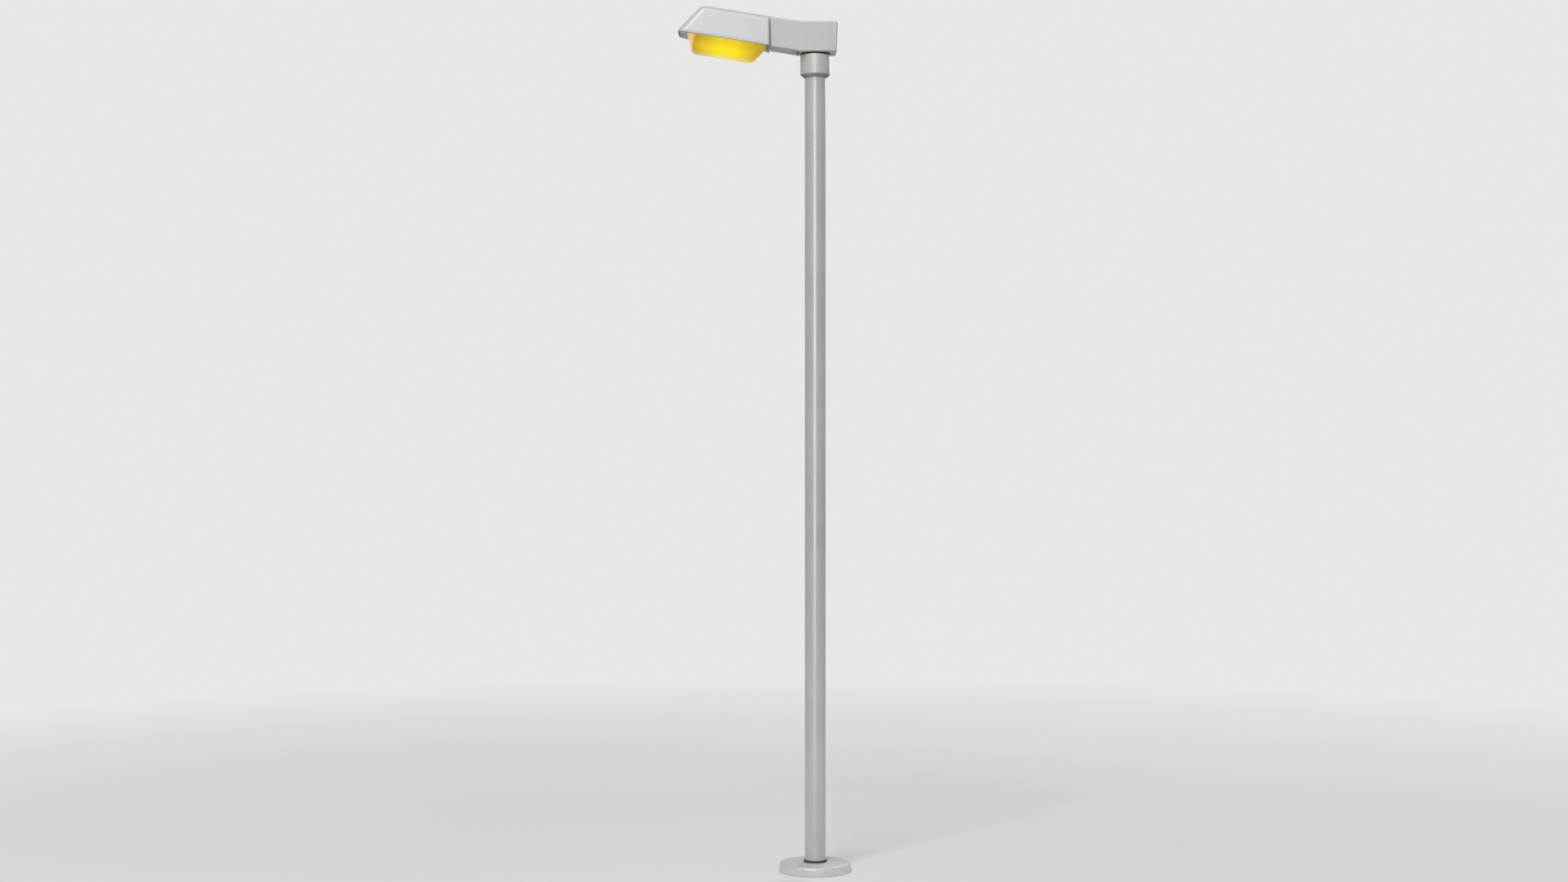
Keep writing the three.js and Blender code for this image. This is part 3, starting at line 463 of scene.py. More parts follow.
def groundSplash(tree, given):
    # mud that rain throws up from the ground, fading with height
    place = objectPlace(tree)
    low = ranged(tree, axisOf(tree, place, "Z"), 0.0, given["Reach"], 1.0, 0.0)
    return times(tree, low, ranged(tree, noise(tree, place, 34.0, 7.0, 0.72), 0.42, 0.62))


groups = {
    "mottle": buildMottle(),
    "grain": buildGrain(),
    "edges": buildEdges(),
    "dust": maskGroup("settled dust", {"Amount": 0.3, "Scale": 20.0}, settledDust),
    "underside": maskGroup("sooty underside", {"Amount": 0.4, "Scale": 15.0}, paintedUndersideShade),
    "streaks": maskGroup("rain streaks", {"Amount": 0.3, "Scale": 40.0}, rainStreaks),
    "splash": maskGroup("ground splash", {"Amount": 0.3, "Reach": 0.4}, groundSplash),
}
finishes = {}


def placed(tree, group, values):
    made = tree.nodes.new("ShaderNodeGroup")
    made.node_tree = groups[group]
    return feed(tree, made, values).outputs


def startFinish(slot, plain):
    material = bpy.data.materials.new(slot)
    material.use_nodes = True
    tree = material.node_tree
    shader = tree.nodes["Principled BSDF"]
    for key, value in plain.items():
        shader.inputs[key].default_value = value
    finishes[slot] = material
    return tree, shader


def finishOff(tree, shader, color, roughness, height, relief, normal, distance=0.001):
    # wires the changing values into the shader's own sockets
    tree.links.new(color, shader.inputs["Base Color"])
    tree.links.new(roughness, shader.inputs["Roughness"])
    values = {"Height": height, "Strength": relief, "Distance": distance}
    if normal is not None:
        values["Normal"] = normal
    bump = node(tree, "Bump", values)
    tree.links.new(bump.outputs[0], shader.inputs["Normal"])


def paintFinish(slot, look):
    # sprayed or powder paint over steel or aluminium, weathered out of doors, with painted shade on what
    # faces down
    tree, shader = startFinish(
        slot, {"Metallic": look["metallic"], "Coat Weight": look["coat"], "Coat Roughness": 0.25}
    )
    base = placed(
        tree, "mottle",
        {"Color": (*look["color"], 1), "Amount": look["mottle"], "Scale": look["mottleScale"]}
    )
    edges = placed(tree, "edges", {"Radius": look["edge"], "Amount": look["wear"], "Scale": 90.0})
    dust = placed(tree, "dust", {"Amount": look["dust"], "Scale": 25.0})["Mask"]
    streaks = placed(tree, "streaks", {"Amount": look["streaks"], "Scale": look["streakScale"]})["Mask"]
    grain = placed(tree, "grain", {"Scale": look["grainScale"], "Coarse": 0.8})["Height"]
    color = mixed(tree, streaks, base["Color"], (*look["grimeAndShade"], 1))
    color = mixed(tree, dust, color, (*look["dirt"], 1))
    # painted shade: what faces down is darkened towards the grime colour
    paintedShade = placed(tree, "underside", {"Amount": look["undersideShade"], "Scale": 14.0})["Mask"]
    color = mixed(tree, paintedShade, color, (*look["grimeAndShade"], 1))
    if look["splash"] > 0:
        mud = placed(tree, "splash", {"Amount": look["splash"], "Reach": 0.45})["Mask"]
        color = mixed(tree, mud, color, (*look["dirt"], 1))
    color = mixed(tree, edges["Mask"], color, (*look["bare"], 1))
    rough = ranged(tree, base["Mask"], 0.3, 0.7, look["roughness"] - 0.05, look["roughness"] + 0.06)
    rough = maths(tree, "ADD", rough, times(tree, maths(tree, "ADD", dust, streaks), 0.3))
    finishOff(tree, shader, color, rough, grain, look["relief"], edges["Normal"])


silverPaint = {
    "color": (0.63, 0.65, 0.635),
    "metallic": 0.6,
    "coat": 0.08,
    "roughness": 0.36,
    "mottle": 0.05,
    "mottleScale": 4.0,
    "grainScale": 420.0,
    "relief": 0.05,
    "edge": 0.0010,
    "wear": 0.5,
    "bare": (0.36, 0.35, 0.33),
    "dust": 0.35,
    "dirt": (0.34, 0.31, 0.26),
    "streaks": 0.22,
    "streakScale": 60.0,
    # the grime colour tints rain streaks and also the painted shade on what faces down; soot sets that
    # shade's strength
    "grimeAndShade": (0.30, 0.285, 0.25),
    "undersideShade": 0.55,
    "splash": 0.3,
}
hoodPaint = dict(
    silverPaint,
    color=(0.56, 0.585, 0.587),
    metallic=0.2,
    roughness=0.5,
    mottleScale=7.0,
    grainScale=500.0,
    streaks=0.16,
    dust=0.28,
    splash=0.0,
)
castPaint = dict(
    silverPaint,
    color=(0.535, 0.565, 0.54),
    metallic=0.25,
    roughness=0.48,
    mottle=0.06,
    grainScale=330.0,
    relief=0.07,
    edge=0.0014,
    streaks=0.2,
    splash=0.0,
)
footPaint = dict(castPaint, color=(0.76, 0.765, 0.745), metallic=0.3, roughness=0.42, dust=0.2, splash=0.22)
paintFinish("silver_paint", silverPaint)
paintFinish("hood_paint", hoodPaint)
paintFinish("cast_paint", castPaint)
paintFinish("foot_paint", footPaint)
# the collar's lower lip gets full painted shade in a near-black tone, a painted shadow band under the
# collar
collarPaint = dict(
    castPaint,
    color=(0.60, 0.625, 0.61),
    metallic=0.5,
    roughness=0.38,
    undersideShade=1.0,
    grimeAndShade=(0.11, 0.105, 0.095),
    streaks=0.08,
)
paintFinish("collar_paint", collarPaint)


plainDefaults = {
    "metallic": 0.0,
    "coat": 0.0,
    "mottleScale": 30.0,
    "grainScale": 900.0,
    "coarse": 0.4,
    "edge": 0.0005,
    "wear": 0.3,
    "dust": 0.15,
}


def plainFinish(slot, look):
    # one rule for metals, plastics, rubber and ceramics: a shade, a grain, rubbed edges and some dust
    look = {**plainDefaults, "bare": look["color"], **look}
    values = {"Metallic": look["metallic"], "Coat Weight": look["coat"]}
    tree, shader = startFinish(slot, values)
    base = placed(
        tree, "mottle",
        {"Color": (*look["color"], 1), "Amount": look["mottle"], "Scale": look["mottleScale"]}
    )
    edges = placed(tree, "edges", {"Radius": look["edge"], "Amount": look["wear"], "Scale": 150.0})
    dust = placed(tree, "dust", {"Amount": look["dust"], "Scale": 60.0})["Mask"]
    grain = placed(tree, "grain", {"Scale": look["grainScale"], "Coarse": look["coarse"]})["Height"]
    color = mixed(tree, edges["Mask"], base["Color"], (*look["bare"], 1))
    color = mixed(tree, dust, color, (0.42, 0.39, 0.34, 1))
    low, high = look["roughness"]
    rough = maths(tree, "ADD", ranged(tree, base["Mask"], 0.3, 0.7, low, high), times(tree, dust, 0.3))
    finishOff(tree, shader, color, rough, grain, look["relief"], edges["Normal"])


plainLooks = {
    "steel": {
        "color": (0.56, 0.57, 0.58), "metallic": 1.0, "mottle": 0.06, "roughness": (0.22, 0.38),
        "relief": 0.05
    },
    "rubber": {
        "color": (0.022, 0.023, 0.024), "mottle": 0.25, "roughness": (0.62, 0.8), "grainScale": 700.0,
        "relief": 0.25, "bare": (0.07, 0.07, 0.07), "dust": 0.3
    },
    "grey_seal": {
        "color": (0.52, 0.525, 0.51), "mottle": 0.12, "roughness": (0.6, 0.75), "grainScale": 700.0,
        "relief": 0.2, "bare": (0.6, 0.6, 0.58), "dust": 0.2
    },
    "porcelain": {
        "color": (0.80, 0.78, 0.72), "coat": 0.6, "mottle": 0.03, "roughness": (0.18, 0.3),
        "grainScale": 250.0, "relief": 0.03, "bare": (0.7, 0.67, 0.6)
    },
    "brass": {
        "color": (0.68, 0.47, 0.20), "metallic": 1.0, "mottle": 0.12, "roughness": (0.24, 0.42),
        "grainScale": 700.0, "relief": 0.04, "bare": (0.8, 0.62, 0.33)
    },
    "black_paint": {
        "color": (0.018, 0.019, 0.02), "coat": 0.4, "mottle": 0.2, "roughness": (0.35, 0.5),
        "grainScale": 320.0, "relief": 0.12, "bare": (0.3, 0.29, 0.28), "wear": 0.5
    },
    "black_plastic": {
        "color": (0.02, 0.021, 0.022), "mottle": 0.15, "roughness": (0.42, 0.55), "relief": 0.12,
        "bare": (0.06, 0.06, 0.06)
    },
    "grey_plastic": {
        "color": (0.33, 0.345, 0.345), "mottle": 0.05, "roughness": (0.42, 0.55), "relief": 0.1,
        "bare": (0.45, 0.46, 0.46)
    },
    "white_plastic": {
        "color": (0.76, 0.76, 0.73), "mottle": 0.03, "roughness": (0.32, 0.45), "relief": 0.08,
        "bare": (0.82, 0.82, 0.8)
    },
    "cable_jacket": {
        "color": (0.035, 0.035, 0.037), "mottle": 0.12, "roughness": (0.45, 0.6), "grainScale": 800.0,
        "relief": 0.1, "bare": (0.09, 0.09, 0.09)
    },
}
for slot, look in plainLooks.items():
    plainFinish(slot, look)


def zincFinish(look):
    # hot-dip zinc with its crystals, each of its own shade and gloss
    tree, shader = startFinish("zinc", {"Metallic": 0.85})
    place = objectPlace(tree)
    crystals = node(tree, "TexVoronoi", {"Vector": place, "Scale": look["crystals"]}, feature="F1")
    shade = node(tree, "SeparateColor", {0: crystals.outputs["Color"]}).outputs[0]
    base = placed(tree, "mottle", {"Color": (*look["color"], 1), "Amount": 0.1, "Scale": 18.0})
    value = ranged(tree, shade, 0.0, 1.0, 0.82, 1.12)
    toned = node(tree, "HueSaturation", {"Color": base["Color"], "Value": value}).outputs["Color"]
    edges = placed(tree, "edges", {"Radius": 0.0006, "Amount": 0.25, "Scale": 120.0})
    dust = placed(tree, "dust", {"Amount": 0.3, "Scale": 40.0})["Mask"]
    color = mixed(tree, dust, toned, (0.4, 0.37, 0.32, 1))
    grain = placed(tree, "grain", {"Scale": 350.0, "Coarse": 1.0})["Height"]
    finishOff(tree, shader, color, ranged(tree, shade, 0.0, 1.0, 0.34, 0.56), grain, 0.08, edges["Normal"])


zincFinish({"color": (0.46, 0.48, 0.50), "crystals": 130.0})


def mirrorFinish(look):
    # anodised reflector sheet, lightly peened so that it scatters the light
    tree, shader = startFinish("bright_aluminium", {"Metallic": 1.0})
    place = objectPlace(tree)
    dents = node(tree, "TexVoronoi", {"Vector": place, "Scale": look["dents"]}, feature="SMOOTH_F1")
    base = placed(tree, "mottle", {"Color": (*look["color"], 1), "Amount": 0.04, "Scale": 12.0})
    edges = placed(tree, "edges", {"Radius": 0.0005, "Amount": 0.2, "Scale": 120.0})
    rough = ranged(tree, base["Mask"], 0.3, 0.7, 0.12, 0.22)
    finishOff(tree, shader, base["Color"], rough, dents.outputs["Distance"], 0.25, edges["Normal"], 0.002)


mirrorFinish({"color": (0.86, 0.87, 0.88), "dents": 140.0})


def lampGlassFinish(look):
    tree, shader = startFinish(
        "lamp_glass", {
            "Metallic": 0.0, "Transmission Weight": 1.0, "IOR": 1.45, "Emission Strength": look["glow"]
        }
    )
    place = objectPlace(tree)
    frost = noise(tree, place, 45.0, 3.0)
    rough = ranged(tree, frost, 0.35, 0.7, 0.05, 0.16)
    tint = placed(tree, "mottle", {"Color": (1.0, 0.93, 0.74, 1), "Amount": 0.03, "Scale": 10.0})
    warm = mixed(tree, frost, (1.0, 0.62, 0.16, 1), (1.0, 0.78, 0.36, 1))
    tree.links.new(warm, shader.inputs["Emission Color"])
    ripple = noise(tree, place, 22.0, 1.0)
    finishOff(tree, shader, tint["Color"], rough, ripple, 0.05, None)


lampGlassFinish({"glow": 0.6})


def arcFinish(look):
    # the hot tube inside the glass: whitest at its middle
    tree, shader = startFinish("arc_glow", {"Emission Strength": look["glow"]})
    place = objectPlace(tree)
    along = axisOf(tree, place, "X")
    off = maths(tree, "ABSOLUTE", maths(tree, "SUBTRACT", along, look["middle"]))
    heat = ranged(tree, off, 0.012, 0.036, 1.0, 0.0)
    tree.links.new(
        mixed(tree, heat, (0.05, 0.03, 0.02, 1), (1.0, 0.72, 0.34, 1)), shader.inputs["Emission Color"]
    )
    base = placed(tree, "mottle", {"Color": (0.8, 0.77, 0.7, 1), "Amount": 0.05, "Scale": 90.0})
    grain = placed(tree, "grain", {"Scale": 800.0, "Coarse": 0.4})["Height"]
    finishOff(
        tree, shader, base["Color"], ranged(tree, base["Mask"], 0.3, 0.7, 0.25, 0.4), grain, 0.05, None
    )


arcFinish({"glow": 14.0, "middle": -0.287})


def bowlFinish(look):
    # moulded prismatic plastic, lit through: its glow is painted light, in the emission and the base
    # colour, pale in front, amber at both ends far from the lamp and brightest near it; its top under the
    # hood is painted darker, as painted shade
    tree, shader = startFinish(
        "bowl_plastic",
        {
            "Metallic": 0.0, "Transmission Weight": look["clear"], "IOR": 1.49,
            "Emission Strength": look["glow"]
        },
    )
    place = objectPlace(tree)
    axis = node(tree, "SeparateXYZ", {0: place})
    drift = noise(tree, place, 14.0, 3.0)
    wander = ranged(tree, drift, 0.3, 0.7, -0.012, 0.012)
    along = maths(tree, "ADD", axis.outputs["X"], wander)
    # painted light: the glow ramp along the bowl, brightest near the lamp and amber at both ends
    ends = node(tree, "ValToRGB", {0: ranged(tree, along, look["frontEnd"], look["rearEnd"])})
    stops = ends.color_ramp
    stops.elements[0].position, stops.elements[0].color = 0.0, (*look["pale"], 1)
    stops.elements[1].position, stops.elements[1].color = 1.0, (*look["amber"], 1)
    for position, shade in look["stops"]:
        stops.elements.new(position).color = (*look[shade], 1)
    # painted shade: the bowl's top under the hood is multiplied towards gold, its bottom left bright
    low = ranged(tree, axis.outputs["Z"], look["top"], look["bottom"])
    upper = mixed(tree, low, (*look["gold"], 1), (1.0, 1.0, 1.0, 1))
    lit = mixed(tree, 0.45, ends.outputs[0], mixed(tree, 1.0, ends.outputs[0], upper, "MULTIPLY"))
    tree.links.new(lit, shader.inputs["Emission Color"])
    grain = placed(tree, "grain", {"Scale": 240.0, "Coarse": 0.8})["Height"]
    edges = placed(tree, "edges", {"Radius": 0.001, "Amount": 0.2, "Scale": 80.0})
    tint = placed(tree, "mottle", {"Color": (*look["gold"], 1), "Amount": 0.05, "Scale": 9.0})
    dust = placed(tree, "dust", {"Amount": 0.2, "Scale": 40.0})["Mask"]
    rough = maths(tree, "ADD", ranged(tree, drift, 0.3, 0.7, 0.14, 0.24), dust)
    # the base colour also takes in the painted glow ramp
    body = mixed(tree, 0.55, tint["Color"], ends.outputs[0])
    finishOff(tree, shader, body, rough, grain, 0.06, edges["Normal"])


bowlFinish(
    {
        "clear": 0.2,
        "glow": 0.46,
        "frontEnd": -0.562,
        "rearEnd": -0.180,
        "top": 0.006,
        "bottom": -0.077,
        "pale": (0.80, 0.62, 0.36),
        "amber": (0.46, 0.27, 0.0),
        "gold": (0.62, 0.46, 0.0),
        "bright": (0.84, 0.70, 0.0),
        "stops": (
            (0.07, "pale"),
            (0.115, "amber"),
            (0.22, "gold"),
            (0.4, "bright"),
            (0.62, "bright"),
            (0.84, "gold"),
        ),
    }
)
print("finishes made:", len(finishes))


postTubes = ("post_foot", "post_door_section", "post_shaft_lower", "post_shaft_middle", "post_shaft_upper")
postRadius = sizeOf("post_foot")[1].x
post = {"wall": 3.6, "foot": sizeOf("post_foot")[0].z, "top": sizeOf("post_shaft_upper")[1].z, "sides": 128}
anchorAngles = (45, 135, 225, 315)
foot = {
    "radius": sizeOf("flange_plate")[1].x,
    "thick": 16.0,
    "circle": 110.0,  # radius of the stud circle
    "stud": 10.0,
    "studTop": sizeOf("anchor_bolt_1")[1].z,
    "pitch": 2.5,
    "nutFlats": 30.0,
    "cableHoles": 23.0,
}


threads = {"m5": (0.8, 0.3), "m6": (1.0, 0.35), "m8": (1.25, 0.4)}  # pitch and depth


def threaded(radius, low, high, pitch, depth=0.55):
    # the thread's outline as a run of ridges, from the bottom up
    out = []
    turns = int((high - low) / pitch)
    for i in range(turns):
        z = low + i * pitch
        out += [(radius - depth, z), (radius, z + pitch * 0.45), (radius, z + pitch * 0.55)]
    return out + [(radius - depth, low + turns * pitch)]


def buildFoot():
    thick = foot["thick"]
    plate = turned(
        [(0, 0), (foot["radius"], 0), (foot["radius"], thick), (0, thick)], 128, edge=1.4, steps=3
    )
    holes = [turnZ(shift(rod(11, -2, thick + 2, edge=0), foot["circle"]), a) for a in anchorAngles]
    holes += [shift(rod(15, -2, thick + 2, edge=0), x) for x in (-foot["cableHoles"], foot["cableHoles"])]
    plate = cut(plate, *holes)

    def weldRipple(phi, radius, height):
        return 0.35 * math.sin(phi * 58) if height > thick + 1 else 0

    inner, bead = postRadius + 0.3, thick + 8
    weld = turned(
        [
            (inner, thick), (postRadius + 8, thick), (postRadius + 6.6, thick + 4),
            (postRadius + 3.4, thick + 6.8), (inner, bead)
        ],
        232, edge=1.2, steps=3, ripple=weldRipple,
    )
    piece("footPlate", join(plate, weld), "post", "zinc", "flange_plate")
    top, radius = foot["studTop"], foot["stud"]
    for i, angle in enumerate(anchorAngles):
        outline = [(0, 0), (radius - 0.6, 0), (radius - 0.6, 12)]
        outline += threaded(radius, 13, top - 2, foot["pitch"]) + [(radius - 1.6, top), (0, top)]
        stud = turned(outline, 32, edge=0)
        stud = turnZ(shift(stud, foot["circle"]), angle)
        piece(f"anchorStud{i + 1}", stud, "post", "zinc", f"anchor_bolt_{i + 1}")
        seat = thick + 0.3
        washer = turned(
            [(10.5, seat), (20, seat), (20, seat + 2), (17.2, seat + 4.2), (10.5, seat + 4.2)], 48, edge=0.5
        )
        nut = cut(hexBar(foot["nutFlats"], seat + 3.6, seat + 16), rod(10.5, 0, 60, edge=0))
        nut = turnZ(shift(join(washer, turnZ(nut, 12 * i)), foot["circle"]), angle)
        piece(f"anchorNut{i + 1}", nut, "post", "zinc", f"anchor_bolt_{i + 1}")


buildFoot()

footCover = {
    "radius": sizeOf("base_cover")[1].x,
    "height": sizeOf("base_cover")[1].z,
    "skirt": 1.0,
    "wall": 4.0,
    "shoulder": 14.0,
    "fall": 3.0,  # from the hub to the shoulder
    "hub": postRadius + 2.2,
}


def buildFootCover():
    c = footCover
    top = c["height"]
    centre = (c["radius"] - c["shoulder"], top - c["fall"] - c["shoulder"])

    def arc(radius, start, end):
        out = []
        for i in range(13):
            a = math.radians(start + (end - start) * i / 12)
            out.append((centre[0] + radius * math.cos(a), centre[1] + radius * math.sin(a), 0))
        return out

    outline = [(c["radius"] - c["wall"], c["skirt"]), (c["radius"], c["skirt"])]
    outline += arc(c["shoulder"], 0, 90) + [(c["hub"], top, 1.2), (c["hub"], top - c["wall"])]
    outline += arc(c["shoulder"] - c["wall"], 90, 0)
    cover = turned(outline, 160, edge=0.8, steps=3)
    piece("footCover", cover, "base_cover", "cast_paint", "base_cover", look="foot_paint")
    inner, neck, lip = postRadius + 0.4, postRadius + 1.9, postRadius + 7
    low, high = top - c["wall"] - 0.6, top + 0.3
    seal = [
        (inner, low - 4), (lip, low - 4), (lip, low), (neck, low, 0.2), (neck, high, 0.2), (lip, high, 0.8)
    ]
    seal += [
        (lip - 0.3, high + 4, 0.5), (lip - 1.2, high + 6.4, 1.5), (lip - 3.6, high + 9, 1.2),
        (inner, high + 9, 0.6)
    ]
    piece("coverSeal", turned(seal, 96, edge=0.6, steps=3), "base_cover", "rubber", "cover_seal")


buildFootCover()
print("foot done")

doorLow, doorHigh = sizeOf("door_plate")
door = {
    "gap": 1.0,
    "corner": 14.0,
    "low": doorLow.z - 1,
    "high": doorHigh.z + 1,
    "width": doorHigh.x - doorLow.x + 2,
    "screws": {"Top": 875.0, "Bottom": 625.0},
    "hole": 4.6,
}


def doorSlot(clearance, near=2.0, far=62.0):
    half = door["width"] / 2 - clearance
    low, high = door["low"] + clearance, door["high"] - clearance
    corner = door["corner"] - clearance
    outline = []
    for cx, cz, quarter in (
        (half - corner, high - corner, 0),
        (corner - half, high - corner, 1),
        (corner - half, low + corner, 2),
        (half - corner, low + corner, 3),
    ):
        for i in range(9):
            a = (quarter + i / 8) * math.pi / 2
            outline.append((cx + corner * math.cos(a), cz + corner * math.sin(a)))
    # drawn flat, then stood up so that its depth runs along Y
    return moved(prism(outline, -far, -near), Matrix.Rotation(math.pi / 2, 4, "X"))


def tubeBody(low, high, edge):
    inner = postRadius - post["wall"]
    return turned([(inner, low), (postRadius, low), (postRadius, high), (inner, high)], post["sides"], edge)


def doorScrewHoles():
    return [shift(alongY(rod(door["hole"], 10, 70, edge=0)), z=z) for z in door["screws"].values()]


def buildPost():
    tube = cut(tubeBody(post["foot"], post["top"], 0.5), doorSlot(0))
    piece("postTube", tube, "post", "silver_paint", postTubes)
    plate = combined(tubeBody(door["low"] - 20, door["high"] + 20, 0), "INTERSECT", doorSlot(door["gap"]))
    piece("doorPlate", cut(plate, *doorScrewHoles()), "door", "silver_paint", "door_plate")
    seat = postRadius + 0.3
    for end, z in door["screws"].items():
        outline = [(0, 18), (3.0, 18), (3.5, 19)]
        outline += threaded(4.0, 20, 33, *threads["m8"]) + [(4.0, 34), (4.0, seat)]
        outline += [
            (9, seat, 0.3), (9, seat + 2.2, 1.6), (7.2, seat + 5.2, 2.2), (4.5, seat + 6, 1), (0, seat + 6)
        ]
        screw = turned(outline, 48, edge=0.1)
        socket = rod(4.2, seat + 2.2, seat + 9, 3, edge=0)
        piece(
            f"doorScrew{end}", shift(alongY(cut(screw, socket)), z=z), f"door_screw_{end.lower()}", "steel",
            f"door_screw_{end.lower()}"
        )
        bar = block((-35, 22, z - 10), (35, 30, z + 10), 1.2, 3)
        bar = cut(bar, shift(alongY(rod(door["hole"], 10, 40, edge=0)), z=z))
        piece(f"doorBridge{end}", bar, "post", "zinc", f"door_bridge_{end.lower()}")


buildPost()

boxLow, boxHigh = sizeOf("fuse_box")
lidLow, lidHigh = sizeOf("fuse_box_lid")
fuseBox = {
    "wall": 2.5, "capHeight": joints["fuse_cap_turn"]["pos_m"][2] / toMetres, "lidStep": 3.0, "ribs": 9
}


def buildFuseBox():
    low, high = boxLow, boxHigh
    wall = fuseBox["wall"]
    inner = block(
        (low.x + wall, low.y + wall, low.z + wall), (high.x - wall, high.y + 5, high.z - wall), 1.5
    )
    piece("fuseBox", cut(block(low, high, 2.2, 3), inner), "post", "grey_plastic", "fuse_box")
    face = lidLow.y
    plate = block(lidLow, (lidHigh.x, face + fuseBox["lidStep"], lidHigh.z), 1.0, 3)
    raised = block(
        (lidLow.x + 6, face + 1, lidLow.z + 7), (lidHigh.x - 6, lidHigh.y, lidHigh.z - 7), 1.8, 4
    )
    lid = fused(plate, raised)
    grooves = []
    for i in range(fuseBox["ribs"]):
        z = lidLow.z + 22 + i * 9
        grooves.append(block((-16, lidHigh.y - 0.8, z), (16, lidHigh.y + 2, z + 2.4), 0.3, 1))
    hole = shift(alongY(rod(11.5, 0, 60, edge=0)), z=fuseBox["capHeight"])
    screws = []
    for x in (-22.5, 22.5):
        for z in (lidLow.z + 13, lidHigh.z - 13):
            screws.append(shift(alongY(rod(3.0, lidHigh.y - 1.6, lidHigh.y + 3, 24, edge=0)), x=x, z=z))
    piece("fuseLid", cut(lid, hole, *grooves, *screws), "post", "white_plastic", "fuse_box_lid")
    seat = lidHigh.y + 0.3

    def knurl(phi, radius, height):
        gripped = radius > 12 and seat + 1 < height < seat + 9
        return -0.35 * (0.5 + 0.5 * math.cos(24 * phi)) if gripped else 0

    outline = [(0, seat - 28), (6.4, seat - 28), (8, seat - 27)]
    outline += threaded(8, seat - 26, seat - 15, 2.2, 0.5) + [(8, seat - 14), (11, seat - 12), (11, seat)]
    outline += [
        (13, seat, 0.5), (13, seat + 2), (13, seat + 5), (13, seat + 8.6, 0.9), (11, seat + 12, 2),
        (0, seat + 12)
    ]
    cap = cut(turned(outline, 96, edge=0.15, ripple=knurl), rod(4, seat + 7, seat + 20, 6, edge=0))
    piece("fuseCap", shift(alongY(cap), z=fuseBox["capHeight"]), "fuse_cap", "porcelain", "fuse_cap")


buildFuseBox()

rail = {"half": 17.5, "lip": 9.0, "skin": 2.0}


def buildBackEquipment():
    low, high = sizeOf("equipment_rail")
    half, lip, skin = rail["half"], rail["lip"], rail["skin"]
    back, front = low.y, high.y
    outline = [
        (-half, back), (half, back), (half, front), (lip, front), (lip, front - skin),
        (half - skin, front - skin)
    ]
    outline += [(half - skin, back + skin), (skin - half, back + skin), (skin - half, front - skin)]
    outline += [(-lip, front - skin), (-lip, front), (-half, front)]
    piece("equipmentRail", prism(rounded(outline, 0.7, 2), low.z, high.z), "post", "zinc", "equipment_rail")
    centreY = (sizeOf("riser_gland")[0].y + sizeOf("riser_gland")[1].y) / 2
    for name, at, flip in (("riser_gland", boxHigh.z, 1), ("supply_gland", boxLow.z, -1)):
        body = hexBar(24, 0.3, 9)
        outline = [
            (6, 8), (11, 8), (11, 10, 0.2), (9.6, 10.4), (9.6, 12), (11, 12.6), (11, 22, 1.5), (8.5, 29, 2),
            (8, 30), (6, 30)
        ]
        dome = turned(outline, 48, edge=0.4)
        gland = join(cut(body, rod(6, -2, 40, edge=0)), dome)
        gland = moved(gland, Matrix.Diagonal((1, 1, flip, 1)))
        title = "riserGland" if flip > 0 else "supplyGland"
        piece(title, shift(gland, y=centreY, z=at), "post", "black_plastic", name)
    low, high = sizeOf("earth_bolt")
    z = (low.z + high.z) / 2
    bolt = join(turned([(0, 0), (8, 0), (8, 1.8), (0, 1.8)], 40, 0.3), shift(hexBar(13, 0, 5.5), z=1.9))
    bolt = join(
        bolt,
        turned(
            [(0, 7)] + [(3.4, 7)] + threaded(4, 7.2, 16.5, *threads["m8"]) + [(3.2, 17.8), (0, 17.8)], 32, 0
        )
    )
    piece("earthBolt", shift(alongY(bolt), y=low.y, z=z), "post", "brass", "earth_bolt")
    top = boxHigh.z
    route = [
        (0, -12, top + 2), (0, -12, top + 40), (0, -9, top + 110), (0, -3, top + 210), (0, 0, top + 330)
    ]
    route += [(0, 0, 1800), (0, 0, 2600), (0, 0, 3300), (0, 0, post["top"])]
    piece("riserCable", tubeAlong(route, 4.5), "post", "cable_jacket", "riser_cable")


buildBackEquipment()
print("post done")

collarLow, collarHigh = sizeOf("mast_collar")
collar = {
    "radius": collarHigh.x,
    "low": collarLow.z,
    "top": collarHigh.z,
    "bore": postRadius + 0.5,
    "setHeight": collarLow.z + 30,
    "setAngles": (90, 210, 330),
    "boltCircle": 59.5,  # radius
    "boltHole": 4.3,
}
mountHeight = sizeOf("rear_housing")[0].z


